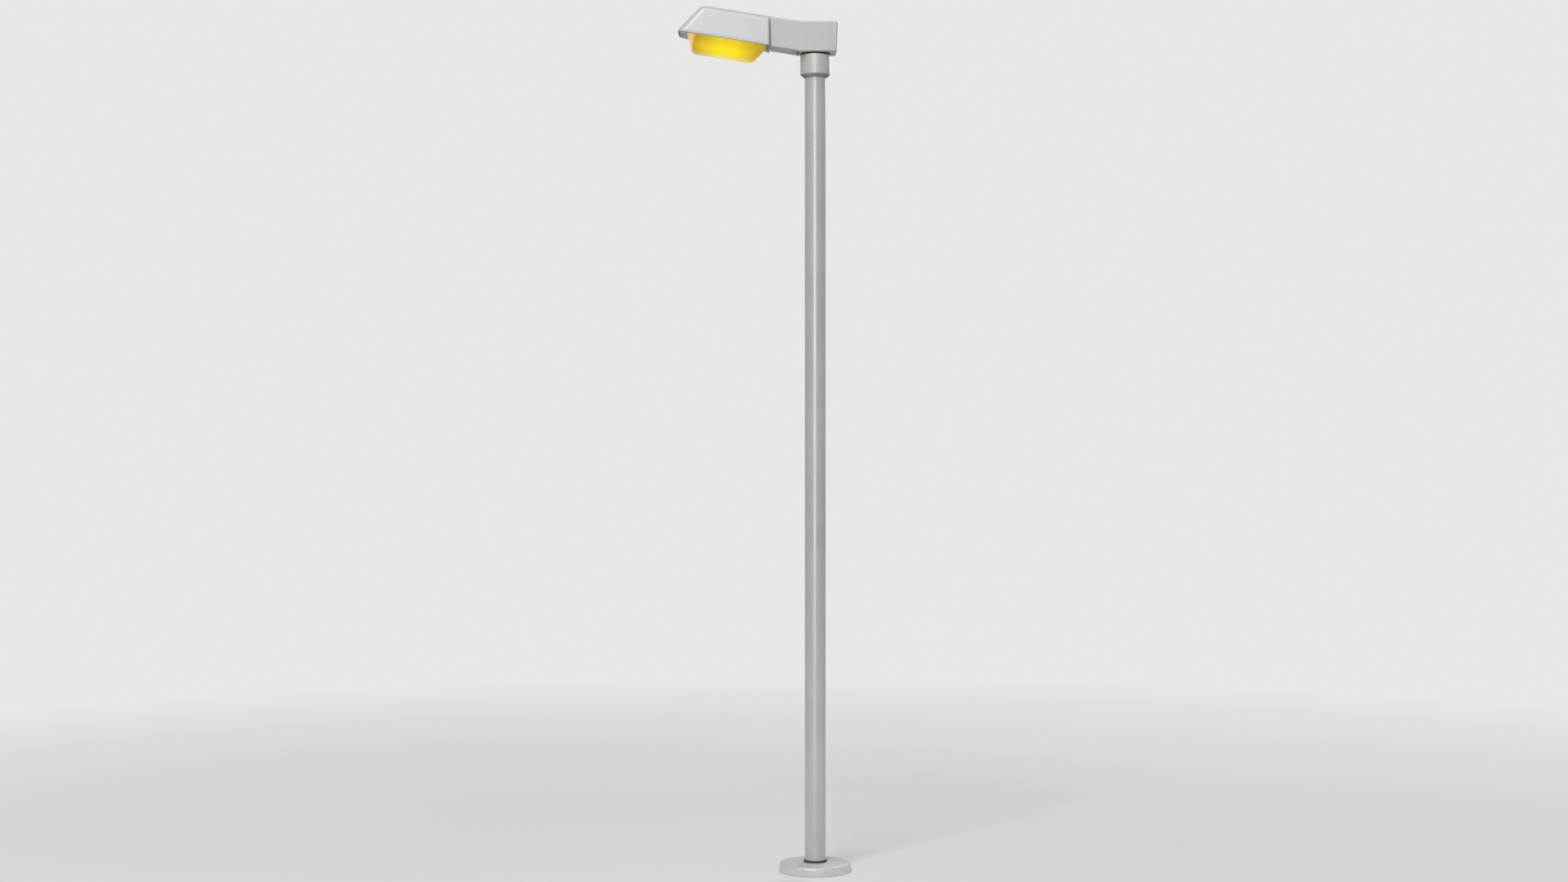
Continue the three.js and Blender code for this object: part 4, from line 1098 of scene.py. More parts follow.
def buildCollar():
    c = collar
    low, top, bore, radius = c["low"], c["top"], c["bore"], c["radius"]
    outline = [(bore, low), (postRadius + 5, low, 1.5), (radius - 4, low + 11, 3), (radius, low + 16, 3)]
    outline += [(radius, top - 9, 1.5), (radius - 5, top - 8, 0.4), (radius - 5, top, 0.3), (28, top)]
    outline += [(28, post["top"] + 0.3), (bore, post["top"] + 0.3), (bore, top - 30, 0)]
    outline += [(radius - 6, top - 34, 0), (radius - 6, low + 46, 0), (bore, low + 42, 0)]
    body = turned(outline, 128, edge=0.8, steps=3)
    drills = [
        shift(turnZ(alongX(rod(c["boltHole"], 40, 90, edge=0)), a), z=c["setHeight"])
        for a in c["setAngles"]
    ]
    drills += [
        turnZ(shift(rod(c["boltHole"], top - 26, top + 3, edge=0), c["boltCircle"]), a)
        for a in c["setAngles"]
    ]
    piece("mastCollar", cut(body, *drills), "head", "cast_paint", "mast_collar", look="collar_paint")
    # a black rubber ring fills the groove under the housing, as painted shade: it makes the dark band of
    # shade there
    inner, outer, base = radius - 5.2, radius - 0.8, top - 8.3
    ring = turned(
        [(inner, base), (outer, base, 0.8), (outer, top - 0.2, 0.8), (inner, top - 0.2)], 128, edge=0.2,
        steps=3
    )
    piece("collarShadeGasket", ring, "head", "rubber", "mast_collar")
    floor = mountHeight + 4.3
    for i, angle in enumerate(c["setAngles"]):
        outline = [(0, postRadius + 0.3), (2, postRadius + 0.3), (2.8, postRadius + 1.2)]
        outline += threaded(
            4.0, postRadius + 2, radius - 3, *threads["m8"]
        ) + [(3.6, radius - 1), (0, radius - 1)]
        screw = cut(turned(outline, 36, edge=0), rod(2.3, radius - 6, radius + 4, 6, edge=0))
        screw = shift(turnZ(alongX(screw), angle), z=c["setHeight"])
        piece(f"setScrew{i + 1}", screw, "head", "steel", f"set_screw_{i + 1}")
        shank = turned(
            [(0, top - 24), (3.2, top - 24)] + threaded(
                4, top - 23, top - 2, *threads["m8"]
            ) + [(4, floor), (0, floor)], 36, 0
        )
        washer = turned([(4.1, floor), (7.5, floor), (7.5, floor + 1.5), (4.1, floor + 1.5)], 40, 0.3)
        bolt = join(shank, washer, hexBar(13, floor + 1.5, floor + 7))
        piece(
            f"collarBolt{i + 1}", turnZ(shift(bolt, c["boltCircle"]), angle), "head", "zinc",
            f"collar_bolt_{i + 1}"
        )


buildCollar()
print("collar done")


tiltSin, tiltCos = math.sin(headTilt), math.cos(headTilt)
headPlaceMm = Matrix.Translation(headOrigin / toMetres) @ tiltOnly
bendX = -70.0
housing = {
    "front": -221.5,
    "rear": 110.0,
    "lean": 7.0,
    "half": 75.0,
    "height": 148.0,
    "wall": 4.0,
    "edge": 8.0,
    "corner": 14.0,
    "sweep": 55.0,  # of the roof's bend, each way
}
gearOpening = {"front": -145.0, "rear": -10.0, "half": 62.0}
coverHinge = {"x": -16.0, "z": 4.5}
coverScrewX = gearOpening["front"] + 8
hoodScrews = ((-45, 100), (45, 100))
leadHole = {"z": 56.0, "radius": 9.0}
lampAxisZ = 50.0


def tilted(bm):
    return moved(bm, headPlaceMm)


def bent(start, corner, end, steps=9):
    # a soft corner between two points
    out = []
    for i in range(steps + 1):
        t = i / steps
        out.append(
            tuple(start[k] * (1 - t) ** 2 + corner[k] * 2 * t * (1 - t) + end[k] * t * t for k in (0, 1))
        )
    return out


def housingOutline(inset):
    # the side view as (x, z), from the lower front corner round the rear to the upper front corner
    h = housing
    front, slope = h["front"] + inset, tiltSin / tiltCos
    floor, roof = mountHeight + inset, mountHeight + h["height"] - inset
    rearLow, rearHigh = h["rear"] - h["lean"] - inset, h["rear"] - inset
    corner, sweep = h["corner"] - inset, h["sweep"]
    peak = bendX - 10

    def roofAt(x):
        return roof + max(0, peak - x) * slope

    out = [(front, mountHeight + (bendX - front) * slope + inset)]
    out += bent((bendX - 8, floor + 8 * slope), (bendX, floor), (bendX + 8, floor), 4)
    out += bent((rearLow - corner, floor), (rearLow, floor), (rearLow + 1, floor + corner))
    out += bent((rearHigh - 1, roof - corner), (rearHigh, roof), (rearHigh - corner, roof))
    out += bent((peak + sweep, roof), (peak, roof), (peak - sweep, roofAt(peak - sweep)), 14)
    return out + [(front, roofAt(front))]


def housingSlab(inset, half, edge, steps=8):
    # the outline carried across the width, its two side edges rounded
    rings = []
    for side in (-1, 1):
        angles = [90 * i / steps for i in range(steps + 1)]
        for a in angles if side < 0 else reversed(angles):
            a = math.radians(a)
            outline = housingOutline(inset + edge * (1 - math.sin(a)))
            y = side * (half - edge * (1 - math.cos(a)))
            rings.append([(x, y, z) for x, z in outline])
    return skinned(rings)


def acrossHead(radius, half, x, z, sides=32, edge=0.0):
    return shift(alongY(rod(radius, -half, half, sides, edge)), x, 0, z)


def hoodScrewHoles(radius, low, high):
    return [shift(alongX(rod(radius, low, high, edge=0)), 0, y, z) for y, z in hoodScrews]


def buildHousing():
    h, g = housing, gearOpening
    outer = housingSlab(0, h["half"], h["edge"])
    cavity = housingSlab(h["wall"], h["half"] - h["wall"], 4, 5)
    hatch = tilted(block((g["front"], -g["half"], -8), (g["rear"], g["half"], 7), 0))
    coverLug = tilted(block((g["front"] - 6, -9, 3.4), (g["front"] + 15, 9, 15), 1.2, 3))
    lugs = [tilted(block((-20.5, y, 0.5), (-6, y + 7, 10), 1.0, 3)) for y in (-57, 50)]
    shell = fused(cut(outer, cavity, hatch), coverLug, *lugs)
    low, high = mountHeight - 5, mountHeight + 10
    holes = [rod(26, low, high, 64, edge=0)]
    holes += [
        turnZ(shift(rod(4.5, low, high, edge=0), collar["boltCircle"]), a) for a in collar["setAngles"]
    ]
    holes.append(tilted(acrossHead(2.1, 60, coverHinge["x"], coverHinge["z"])))
    holes.append(tilted(shift(rod(3.1, -5, 30, edge=0), coverScrewX)))
    holes.append(tilted(shift(alongX(rod(leadHole["radius"], -175, -140, edge=0)), z=leadHole["z"])))
    holes += [tilted(hole) for hole in hoodScrewHoles(3.3, -180, -140)]
    piece("rearHousing", cut(shell, *holes), "head", "cast_paint", "rear_housing")
    low, high = sizeOf("seam_gasket")
    sheet = block(low, high, 0.4)
    window = block((low.x - 2, -30, low.z + 35), (high.x + 2, 30, low.z + 85), 0)
    holes = [tilted(hole) for hole in hoodScrewHoles(3.8, -200, -120)]
    piece("seamGasket", cut(sheet, window, *holes), "head", "rubber", "seam_gasket", look="grey_seal")


buildHousing()

hood = {
    "front": -607.8,
    "rear": -223.5,
    "half": 110.0,
    "height": 145.7,
    "band": 10.0,  # upright part above the rim
    "frontLean": 92.0,
    "sideLean": 30.0,
    "crown": 24.0,
    "wall": 3.0,
    "frontCorner": 44.0,
    "rearCorner": 10.0,
}
bowlScrewX = -586.0


def rearPlaneAt(x, z):
    return (x - bendX - z * tiltSin) / tiltCos


def hoodRing(inset, z, tuck=0.0):
    h, soft = hood, 4.0
    above = z - h["band"]
    rise = max(0, above) if abs(above) > soft else (above + soft) ** 2 / (4 * soft)
    share = rise / (h["height"] - h["band"])
    return planRing(
        h["front"] + inset + h["frontLean"] * share + tuck,
        rearPlaneAt(h["rear"] - inset, z),
        h["half"] - inset - h["sideLean"] * share - tuck,
        h["frontCorner"] - inset - 8 * share - 0.35 * tuck,
        h["rearCorner"] - inset,
        z,
        12,
    )


def hoodBody(inset, heights):
    crown, top = hood["crown"] - inset, hood["height"] - inset
    rings = [hoodRing(inset, z) for z in heights]
    rings += [hoodRing(inset, z) for z in (6, 8, 10, 12, 14, 50, 90, top - crown)]
    for i in range(1, 13):
        a = math.radians(7.5 * i)
        rings.append(hoodRing(inset, top - crown * (1 - math.sin(a)), crown * 0.72 * (1 - math.cos(a))))
    return rings


def buildHood():
    outer = skinned([hoodRing(0.7, 0), hoodRing(0.2, 0.2)] + hoodBody(0, [0.7]))
    inner = skinned(hoodBody(hood["wall"], [-5]))
    boss = combined(block((-615, -11, 12), (-576, 11, 28), 0), "INTERSECT", skinned(hoodBody(1, [2])))
    hinge = [
        block((bowlHinge["x"] - 4.5, y, 0.8), (bowlHinge["x"] + 6.5, y + 6, 10), 1.0, 3) for y in (-68, 62)
    ]
    shell = fused(cut(outer, inner), boss, *hinge)
    holes = [
        shift(rod(3.7, 5, 40, edge=0), bowlScrewX),
        acrossHead(2.3, 75, bowlHinge["x"], bowlHinge["z"]),
        shift(alongX(rod(leadHole["radius"], -185, -150, edge=0)), z=leadHole["z"]),
        *hoodScrewHoles(3.3, -200, -150),
    ]
    piece("hoodShell", tilted(cut(shell, *holes)), "head", "hood_paint", "hood")
    for i, (y, z) in enumerate(hoodScrews):
        seat = rearPlaneAt(hood["rear"] - hood["wall"], z) - 2.5
        washer = turned([(0, seat - 1), (7, seat - 1), (7, seat), (0, seat)], 40, 0.2)
        shank = turned(
            [(0, seat - 1), (2.4, seat)] + threaded(
                3, seat + 2, seat + 18, *threads["m6"]
            ) + [(2.2, seat + 20), (0, seat + 20)],
            28, 0
        )
        screw = alongX(join(shank, washer, hexBar(10, seat - 5, seat - 1)))
        piece(f"hoodScrew{i + 1}", shift(screw, 0, y, z), "head", "steel", f"hood_screw_{i + 1}", headPlace)


buildHood()

reflector = {
    "front": -572,
    "rear": -190,
    "half": 95,
    "frontCorner": 40,
    "rearCorner": 24,
    "lampHole": 25,
    "skin": 1.2,
    "shares": (0, 0.1, 0.25, 0.5, 1),  # of the taper, at each of the heights
    "heights": (14, 50, 80, 104, 118),
}


def reflectorRings(inset, lowest):
    def ring(z, share):
        return planRing(
            reflector["front"] + inset + 92 * share,
            reflector["rear"] - inset - 12 * share,
            reflector["half"] - inset - 42 * share,
            reflector["frontCorner"] - inset - 10 * share,
            reflector["rearCorner"] - inset - 6 * share,
            z,
            10,
        )

    heights, shares = list(reflector["heights"]), list(reflector["shares"])
    heights[-1] -= inset
    rings = [ring(lowest, 0)]
    for i in range(len(heights) - 1):
        for k in range(4):
            # smooth between the marked levels, so the trough reads as one curve
            t = k / 4
            slopeIn = (shares[i + 1] - shares[max(i - 1, 0)]) / (2 if i else 1)
            slopeOut = (shares[min(i + 2, len(shares) - 1)] - shares[i]) / (2 if i + 2 < len(shares) else 1)
            share = (2 * t**3 - 3 * t**2 + 1) * shares[i] + (t**3 - 2 * t**2 + t) * slopeIn
            share += (3 * t**2 - 2 * t**3) * shares[i + 1] + (t**3 - t**2) * slopeOut
            rings.append(ring(heights[i] + (heights[i + 1] - heights[i]) * t, share))
    rings.append(ring(heights[-1], 1))
    return rings


def buildReflector():
    lip = skinned([planRing(-575, -182, 101, 42, 26, z) for z in (11.2, 12.6)])
    trough = fused(skinned(reflectorRings(0, 11.6)), lip)
    hole = shift(alongX(rod(reflector["lampHole"], -225, -170, 48, edge=0)), z=lampAxisZ)
    piece(
        "reflectorTrough", cut(trough, skinned(reflectorRings(reflector["skin"], 5)), hole), "head",
        "bright_aluminium", "reflector", headPlace
    )


buildReflector()
print("housing, hood and reflector done")

holder = {"back": -185.3, "bore": 14.3, "capRear": -196.0}
glass = (
    (10.4, -6), (10.4, 1), (13, 6), (17, 14), (26, 30), (33, 50), (35, 68), (33.5, 86), (28, 102),
    (18, 114), (9, 119)
)


def onLampAxis(bm):
    return shift(alongX(bm), z=lampAxisZ)


def smoothLine(points, steps=5):
    # a curve through every point
    marks = [points[0], *points, points[-1]]
    out = []
    for i in range(1, len(marks) - 2):
        a, b, c, d = marks[i - 1 : i + 3]
        for k in range(steps):
            t = k / steps
            out.append(tuple(
                0.5 * (2 * b[n] + (c[n] - a[n]) * t + (2 * a[n] - 5 * b[n] + 4 * c[n] - d[n]) * t * t
                       + (3 * b[n] - a[n] - 3 * c[n] + d[n]) * t**3)
                for n in (0, 1)
            ))
    return out + [tuple(points[-1])]


def buildLamp():
    back = holder["back"]
    foot = rearPlaneAt(hood["rear"] - hood["wall"], 84) - 0.3
    plate = block((-185, -27, 22), (-182.5, 27, 84), 0.6)
    shelf = block((-185, -27, 81.5), (foot, 27, 84), 0.6)
    bracket = cut(fused(plate, shelf), onLampAxis(rod(6, -190, -175, edge=0)))
    piece("holderBracket", bracket, "head", "zinc", "lampholder_bracket", headPlace)
    outline = [
        (0, back - 46), (21, back - 46, 1.6), (23, back - 42, 1.5), (23, back - 34, 1),
        (21.6, back - 33, 0.4), (21.6, back - 31, 0.4)
    ]
    outline += [(23, back - 30, 1), (23, back - 12, 3), (18, back - 4, 2), (18, back, 0.6), (0, back)]
    body = cut(turned(outline, 80, 0.4, 3), rod(holder["bore"], back - 60, back - 8, 64, edge=0))
    piece("lampHolder", onLampAxis(body), "head", "porcelain", "lampholder", headPlace)

    rear = holder["capRear"]
    outline = [(0, rear - 22), (11, rear - 22), (11, rear - 30), (12.6, rear - 30, 0.3)]
    for i in range(5):
        z = rear - 27 + i * 4
        outline += [(13.4, z, 0.9), (12.5, z + 2, 0.9)]
    outline += [
        (13.2, rear - 7, 0.8), (9, rear - 3, 0.8), (4.5, rear - 1.6, 0.5), (4.5, rear, 0.6), (0, rear)
    ]
    piece("lampCap", onLampAxis(turned(outline, 64, 0.3, 3)), "lamp", "brass", "lamp_cap", headPlace)

    mouth, skin, tip = rear - 30, 1.2, rear - 151
    outside = smoothLine([(r, mouth - d) for r, d in glass])
    inside = smoothLine([(r - skin, mouth - d + (skin if i > 8 else 0)) for i, (r, d) in enumerate(glass)])
    outline = [(0, tip + skin)] + inside[::-1] + outside + [(0, tip)]
    piece("lampGlass", onLampAxis(turned(outline, 72, 0)), "lamp", "lamp_glass", "lamp_bulb", headPlace)

    base = rear - 31
    outline = [
        (0, base - 95), (3.5, base - 93, 1.5), (4.5, base - 85, 2), (4.5, base - 35, 2),
        (3.5, base - 27, 1.5)
    ]
    outline += [(1.6, base - 23, 0.8), (1.6, base), (0, base)]
    piece(
        "arcTube", onLampAxis(turned(outline, 40, 0.3, 3)), "lamp", "porcelain", "arc_tube", headPlace,
        look="arc_glow"
    )
    wires = []
    for y in (-5, 5):
        spread = ((base, y), (base - 30, 1.6 * y), (base - 90, 1.6 * y), (base - 101, 0))
        wires.append(tubeAlong([(px, py, lampAxisZ) for px, py in spread], 0.7, 10, 6))
    rings = [
        onLampAxis(turned([(8.2, z), (9.0, z), (9.0, z + 1), (8.2, z + 1)], 40, 0.2))
        for z in (base - 88, base - 34)
    ]
    piece("lampFrameWires", join(*wires, *rings), "lamp", "steel", "arc_tube", headPlace)


buildLamp()

bowl = {
    "front": -562.0,
    "rear": -180.0,
    "half": 88.0,
    "depth": 77.0,
    "wall": 3.0,
    "frame": 3.0,
    "flange": 6.3,
    "floorRound": 13.0,
    "flutes": (42, 16),  # along a side and across an end
    "fluteSteps": 6,
    "fluteDepth": 1.2,
}


def fluted(ring, depth):
    # the straight runs between a ring's corners, pressed into upright flutes
    corner, out = len(ring) // 4, []
    for quarter in range(4):
        out += ring[quarter * corner : (quarter + 1) * corner]
        start, end = Vector(out[-1]), Vector(ring[(quarter + 1) * corner % len(ring)])
        along = (end - start).normalized()
        inward = Vector((-along.y, along.x, 0))
        run = bowl["fluteSteps"] * bowl["flutes"][quarter % 2]
        for i in range(1, run):
            dip = depth * (0.5 - 0.5 * math.cos(tau * i / bowl["fluteSteps"]))
            out.append(tuple(start + (end - start) * i / run + inward * dip))
    return out


def bowlRings(inset, highest, fluteDepth=None):
    depth, rounding = bowl["depth"] - inset, bowl["floorRound"] - inset

    def ring(z, tuck=0.0, pressed=1.0):
        share = max(0, -z) / bowl["depth"]
        corner = 30 - inset - 0.3 * tuck
        plain = planRing(
            bowl["front"] + inset + 32 * share + tuck, bowl["rear"] - inset - 50 * share - tuck,
            bowl["half"] - inset - 20 * share - tuck, corner, corner, z, 12,
        )
        return plain if fluteDepth is None else fluted(plain, fluteDepth * pressed)

    rings = []
    for i in range(10):
        a = math.radians(90 - 9 * i)
        rings.append(ring(-depth + rounding * (1 - math.sin(a)), rounding * (1 - math.cos(a)), math.cos(a)))
    return rings + [
        ring(-40), ring(-20), ring(-6), ring(-3, pressed=0.0), ring(0, pressed=0.0),
        ring(highest, pressed=0.0)
    ]


def rimRing(grow, z, corner):
    return planRing(bowl["front"] - grow, bowl["rear"] + grow, bowl["half"] + grow, corner, corner, z, 12)


def slab(ringAt, low, high, edge):
    # a flat ring-shaped plate's solid with its two outer edges softened; ringAt(grow, z) draws one level
    return skinned([ringAt(-edge, low), ringAt(-edge * 0.3, low + edge * 0.3), ringAt(0, low + edge),
                    ringAt(0, high - edge), ringAt(-edge * 0.3, high - edge * 0.3), ringAt(-edge, high)])


def buildBowl():
    b = bowl
    flange = slab(lambda grow, z: rimRing(6 + grow, z, 32 + grow), b["frame"] + 0.3, b["flange"], 0.5)
    tray = fused(skinned(bowlRings(0, b["flange"] - 0.6, b["fluteDepth"])), flange)
    tray = cut(tray, skinned(bowlRings(b["wall"], b["flange"] + 5)))
    piece("bowlLens", tray, "bowl", "bowl_plastic", "bowl_lens", headPlace)
    low, high = b["flange"] + 0.3, b["flange"] + 4.3
    seal = slab(lambda grow, z: rimRing(5.5 + grow, z, 31 + grow), low, high, 1.0)
    seal = cut(seal, skinned([rimRing(-3.5, low - 2, 26), rimRing(-3.5, high + 2, 26)]))
    piece("bowlSeal", seal, "bowl", "rubber", "bowl_seal", headPlace)

    def framePlan(grow, z):
        return planRing(-599.5 - grow, bowlHinge["x"] - 7 + grow, 105.5 + grow, 36 + grow, 8 + grow, z, 12)

    x, z = bowlHinge["x"], bowlHinge["z"]
    plate = slab(framePlan, 0, b["frame"], 0.8)
    plate = cut(plate, skinned([rimRing(0.8, -2, 30.5), rimRing(0.8, b["frame"] + 2, 30.5)]))
    knuckles = []
    for start, end in ((-58, -40), (40, 58)):
        knuckles.append(shift(alongY(rod(4.3, start, end, 40, 0.5)), x, 0, z))
        knuckles.append(block((x - 9, start, 0.4), (x - 1, end, b["frame"] - 0.1), 0.3, 1))
    plate = fused(plate, *knuckles)
    holes = (acrossHead(2.4, 80, x, z), shift(rod(3.7, -5, 10, edge=0), bowlScrewX))
    piece("bowlFrame", cut(plate, *holes), "bowl", "hood_paint", "bowl_frame", headPlace)

    def knurl(phi, radius, height):
        return -0.3 * (0.5 + 0.5 * math.cos(20 * phi)) if radius > 7.5 and height < -1.2 else 0

    outline = [
        (0, -6), (7, -6, 0.5), (8, -5, 0.5), (8, -3.2), (8, -1.4, 0.5), (7, -0.3), (3, -0.3), (2.5, 1)
    ]
    outline += threaded(3, 2, 19, *threads["m6"]) + [(2.2, 21), (0, 21)]
    screw = cut(turned(outline, 80, 0.1, 2, knurl), block((-9, -0.8, -7), (9, 0.8, -4.4), 0))
    piece("bowlScrew", shift(screw, bowlScrewX), "bowl_screw", "steel", "bowl_screw", headPlace)
    piece("bowlHingePin", acrossHead(2, 70, x, z, 32, 0.6), "head", "steel", "bowl_hinge_pin", headPlace)


buildBowl()
print("lamp and bowl done")


gearTray = {"low": 129.0, "high": 131.0, "pegs": ((-134, -54), (-134, 54), (-26, -54), (-26, 54))}


def buildGear():
    g, x, z = gearOpening, coverHinge["x"], coverHinge["z"]
    plate = block((g["front"] + 1, 1 - g["half"], 0), (x - 6.5, g["half"] - 1, 3), 0.9, 3)
    groove = block((g["front"] + 15, 14 - g["half"], -1), (x - 20, g["half"] - 14, 0.7), 0.3, 1)
    panel = block((g["front"] + 18, 17 - g["half"], -2), (x - 23, g["half"] - 17, 2), 0.3, 1)
    plate = cut(plate, cut(groove, panel))
    knuckles = []
    for y in (-48, 34):
        knuckles.append(shift(alongY(rod(4, y, y + 14, 40, 0.5)), x, 0, z))
        knuckles.append(block((x - 9, y, 0.6), (x - 1, y + 14, 2.9), 0.3, 1))
    plate = cut(
        fused(plate, *knuckles), acrossHead(2.2, 80, x, z), shift(rod(3.1, -5, 10, edge=0), coverScrewX)
    )
    piece("gearCover", plate, "gear_cover", "cast_paint", "gear_cover", headPlace)
    outline = [(0, -3.5), (4, -3.5, 0.6), (5, -2.6, 0.5), (5, -0.3, 0.2), (2.5, -0.3)]
    outline += threaded(2.5, 1, 12, *threads["m5"]) + [(1.8, 13), (0, 13)]
    screw = cut(turned(outline, 40, 0.1), block((-6, -0.6, -5), (6, 0.6, -2.2), 0))
    piece(
        "gearCoverScrew", shift(screw, coverScrewX), "gear_cover_screw", "steel", "gear_cover_screw",
        headPlace
    )
    piece("gearCoverPin", acrossHead(1.8, 58, x, z, 32, 0.5), "head", "steel", "gear_cover_pin", headPlace)

    low, high = gearTray["low"], gearTray["high"]
    tray = block((-146, -64, low), (-14, 64, high), 0.7)
    for px, py in gearTray["pegs"]:
        tray = fused(tray, shift(rod(5, high - 1, high + 9, 24, 0.4), px, py))
    piece("gearTray", tray, "head", "zinc", "gear_tray", headPlace)
    top = low - 0.3
    leaves = [block((-124 + i * 4, -66, top - 50), (-121 + i * 4, -6, top), 0.25, 1) for i in range(19)]
    core = block((-123, -65.2, top - 49.2), (-49, -6.8, top - 0.8), 0)
    windings = fused(block((-138, -56, top - 44), (-34, -16, top - 8), 6, 4), core)
    ends = [block((px, -50, top - 6), (px + 3, -22, top - 0.4), 0.4) for px in (-127, -48)]
    piece("ballast", join(windings, *leaves, *ends), "head", "black_paint", "ballast", headPlace)
    outline = [
        (0, -138), (14, -138, 0.8), (14, -136.6, 0.3), (15.6, -138, 0.5), (17, -137, 0.8), (17, -56, 1.2),
        (15, -54, 1)
    ]
    outline += [(6, -54, 0.3), (6, -52.5, 0.3), (3.4, -52.5)] + threaded(4, -52, -46, 1.0, 0.4)
    outline += [(3, -44), (0, -44)]
    can = shift(alongX(turned(outline, 64, 0.2)), 0, 17, top - 17.2)
    piece("capacitor", can, "head", "bright_aluminium", "capacitor", headPlace)
    body = block((-136, 38, top - 34), (-74, 64, top), 2.2, 4)
    ribs = [block((-128 + i * 6, 36, top - 30), (-125.6 + i * 6, 38.8, top - 4), 0.3, 1) for i in range(7)]
    body = cut(fused(body, block((-78, 43, top - 22), (-66, 59, top - 10), 1.2, 3)), *ribs)
    piece("ignitor", body, "head", "white_plastic", "ignitor", headPlace)


buildGear()


terminal = {"x": 75, "ways": (-14, 0, 14)}


def buildWiring():
    floor = mountHeight + housing["wall"] + 0.3
    body = block((62, -22, floor), (88, 22, floor + 24), 1.6, 3)
    gaps = [block((60, y - 0.8, floor + 8), (90, y + 0.8, floor + 30), 0) for y in (-7, 7)]
    funnels = [shift(rod(3.2, floor + 14, floor + 30, edge=0), terminal["x"], y) for y in terminal["ways"]]
    screws = []
    for y in terminal["ways"]:
        head = cut(
            rod(2.7, floor + 13, floor + 18, 24, 0.3),
            block((-4, -0.4, floor + 17), (4, 0.4, floor + 20), 0)
        )
        screws.append(shift(turnZ(head, 25 + 3 * y), terminal["x"], y))
    piece("terminalBlock", cut(body, *gaps, *funnels), "head", "porcelain", "terminal_block")
    piece("terminalScrews", join(*screws), "head", "brass", "terminal_block")
    leadLevel = floor + 18
    saddle = cut(
        block((40, -16, floor), (48, 16, leadLevel + 9), 1.4, 3),
        shift(alongX(rod(5, 35, 55, edge=0)), z=leadLevel)
    )
    piece("cableClamp", saddle, "head", "grey_plastic", "cable_clamp")
    top = post["top"] + 0.3
    up = mountHeight
    route = [
        (0, 0, top), (0, 0, up + 6), (4, 0, up + 21), (14, 0, up + 30), (26, 0, up + 28),
        (37, 0, leadLevel), (50, 0, leadLevel), (61.7, 0, leadLevel)
    ]
    piece("headLead", tubeAlong(route, 4), "head", "cable_jacket", "head_lead")
    route = [
        (61, -14, floor + 12), (56, -14.2, floor + 12.2), (47, -22, floor + 16), (20, -42, floor + 36),
        (-25, -44, floor + 62), (-60, -38, floor + 86), (-82, -36, floor + 98)
    ]
    piece("gearLead", tubeAlong(route, 2.5), "head", "cable_jacket", "gear_lead")
    route = [
        (-70, -30, 78), (-70.5, -30, 70), (-80, -27, 60), (-105, -15, 54), (-130, -3, 55), (-150, 0, 56),
        (-163, 0, 56), (-171, 0, 53.5), (-178, 0, 50.5), (-184, 0, 50)
    ]
    piece("lampLead", tubeAlong(route, 3), "head", "cable_jacket", "lamp_lead", headPlace)


buildWiring()
print("control gear and wiring done")


studio = {
    "pale": (0.80, 0.80, 0.79),
    "floor": (0.88, 0.88, 0.87),
    "around": (0.43, 0.435, 0.44),  # what shiny surfaces see beyond the lights
    "floorReach": 9.0,
    "floorSolid": 2.0,
    "floorSides": 96,
}


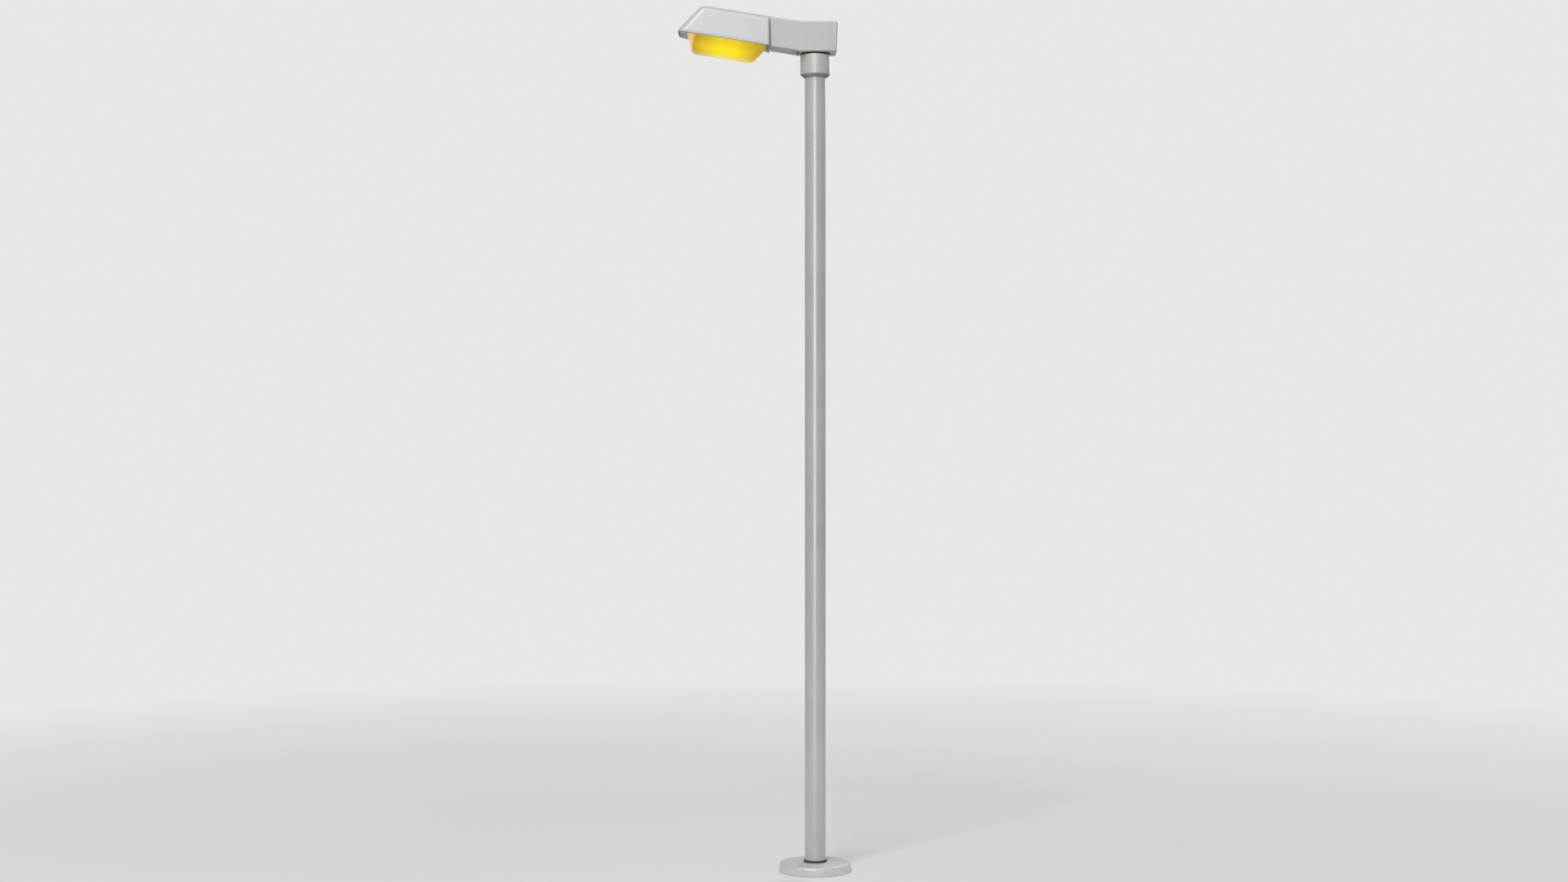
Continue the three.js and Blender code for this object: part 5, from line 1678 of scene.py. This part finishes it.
def buildStudio():
    reach, sides = studio["floorReach"], studio["floorSides"]
    ring = [(reach * math.cos(tau * i / sides), reach * math.sin(tau * i / sides), 0) for i in range(sides)]
    mesh = bpy.data.meshes.new("floor")
    mesh.from_pydata(ring, [], [tuple(range(sides))])
    floor = bpy.data.objects.new("floor", mesh)
    bpy.context.scene.collection.objects.link(floor)
    material = bpy.data.materials.new("floor")
    material.use_nodes = True
    tree = material.node_tree
    shader = tree.nodes["Principled BSDF"]
    shader.inputs["Base Color"].default_value = (*studio["floor"], 1)
    shader.inputs["Roughness"].default_value = 0.9
    shader.inputs["Specular IOR Level"].default_value = 0.15
    place = objectPlace(tree)
    away = node(tree, "VectorMath", {0: place}, operation="LENGTH").outputs["Value"]
    tree.links.new(ranged(tree, away, studio["floorSolid"], reach, 1.0, 0.0), shader.inputs["Alpha"])
    mesh.materials.append(material)

    world = bpy.data.worlds.new("studio")
    bpy.context.scene.world = world
    world.use_nodes = True
    tree = world.node_tree
    seen = node(tree, "LightPath").outputs["Is Camera Ray"]
    tone = mixed(tree, seen, (*studio["around"], 1), (*studio["pale"], 1))
    tree.links.new(tone, tree.nodes["Background"].inputs["Color"])
    tree.nodes["Background"].inputs["Strength"].default_value = 1.0


lights = (
    {
        "name": "high key",
        "place": (-2.2, -5.2, 10.4),
        "aim": (-0.1, 0, 2.6),
        "size": (2.6, 2.6),
        "power": 400,
        "color": (1.0, 0.985, 0.955),
    },
    {"name": "front fill", "place": (-0.8, -8.5, 3.2), "aim": (0, 0, 2.6), "size": (0.9, 5.5), "power": 85},
    {"name": "back glow", "place": (3.0, 7.0, 6.5), "aim": (0, 0, 2.4), "size": (3.0, 3.0), "power": 110},
)


def buildLight(light):
    data = bpy.data.lights.new(light["name"], "AREA")
    data.shape = "RECTANGLE"
    data.size, data.size_y = light["size"]
    data.energy = light["power"]
    data.color = light.get("color", (1, 1, 1))
    lamp = bpy.data.objects.new(light["name"], data)
    bpy.context.scene.collection.objects.link(lamp)
    lamp.location = light["place"]
    lamp.rotation_mode = "QUATERNION"
    lamp.rotation_quaternion = (Vector(light["aim"]) - Vector(light["place"])).to_track_quat("-Z", "Y")


camera = {
    "place": (-0.153, -11.2, 2.104),
    "lens": 52.5,
    "sensor": 36.0,
    "far": 200,
}


def buildCamera():
    data = bpy.data.cameras.new("camera")
    data.lens = camera["lens"]
    data.sensor_width = camera["sensor"]
    data.clip_end = camera["far"]
    eye = bpy.data.objects.new("camera", data)
    bpy.context.scene.collection.objects.link(eye)
    eye.location = camera["place"]
    eye.rotation_euler = (math.pi / 2, 0, 0)
    bpy.context.scene.camera = eye


buildStudio()
for light in lights:
    buildLight(light)
buildCamera()
bpy.context.scene.view_settings.view_transform = "Standard"
print("studio done")
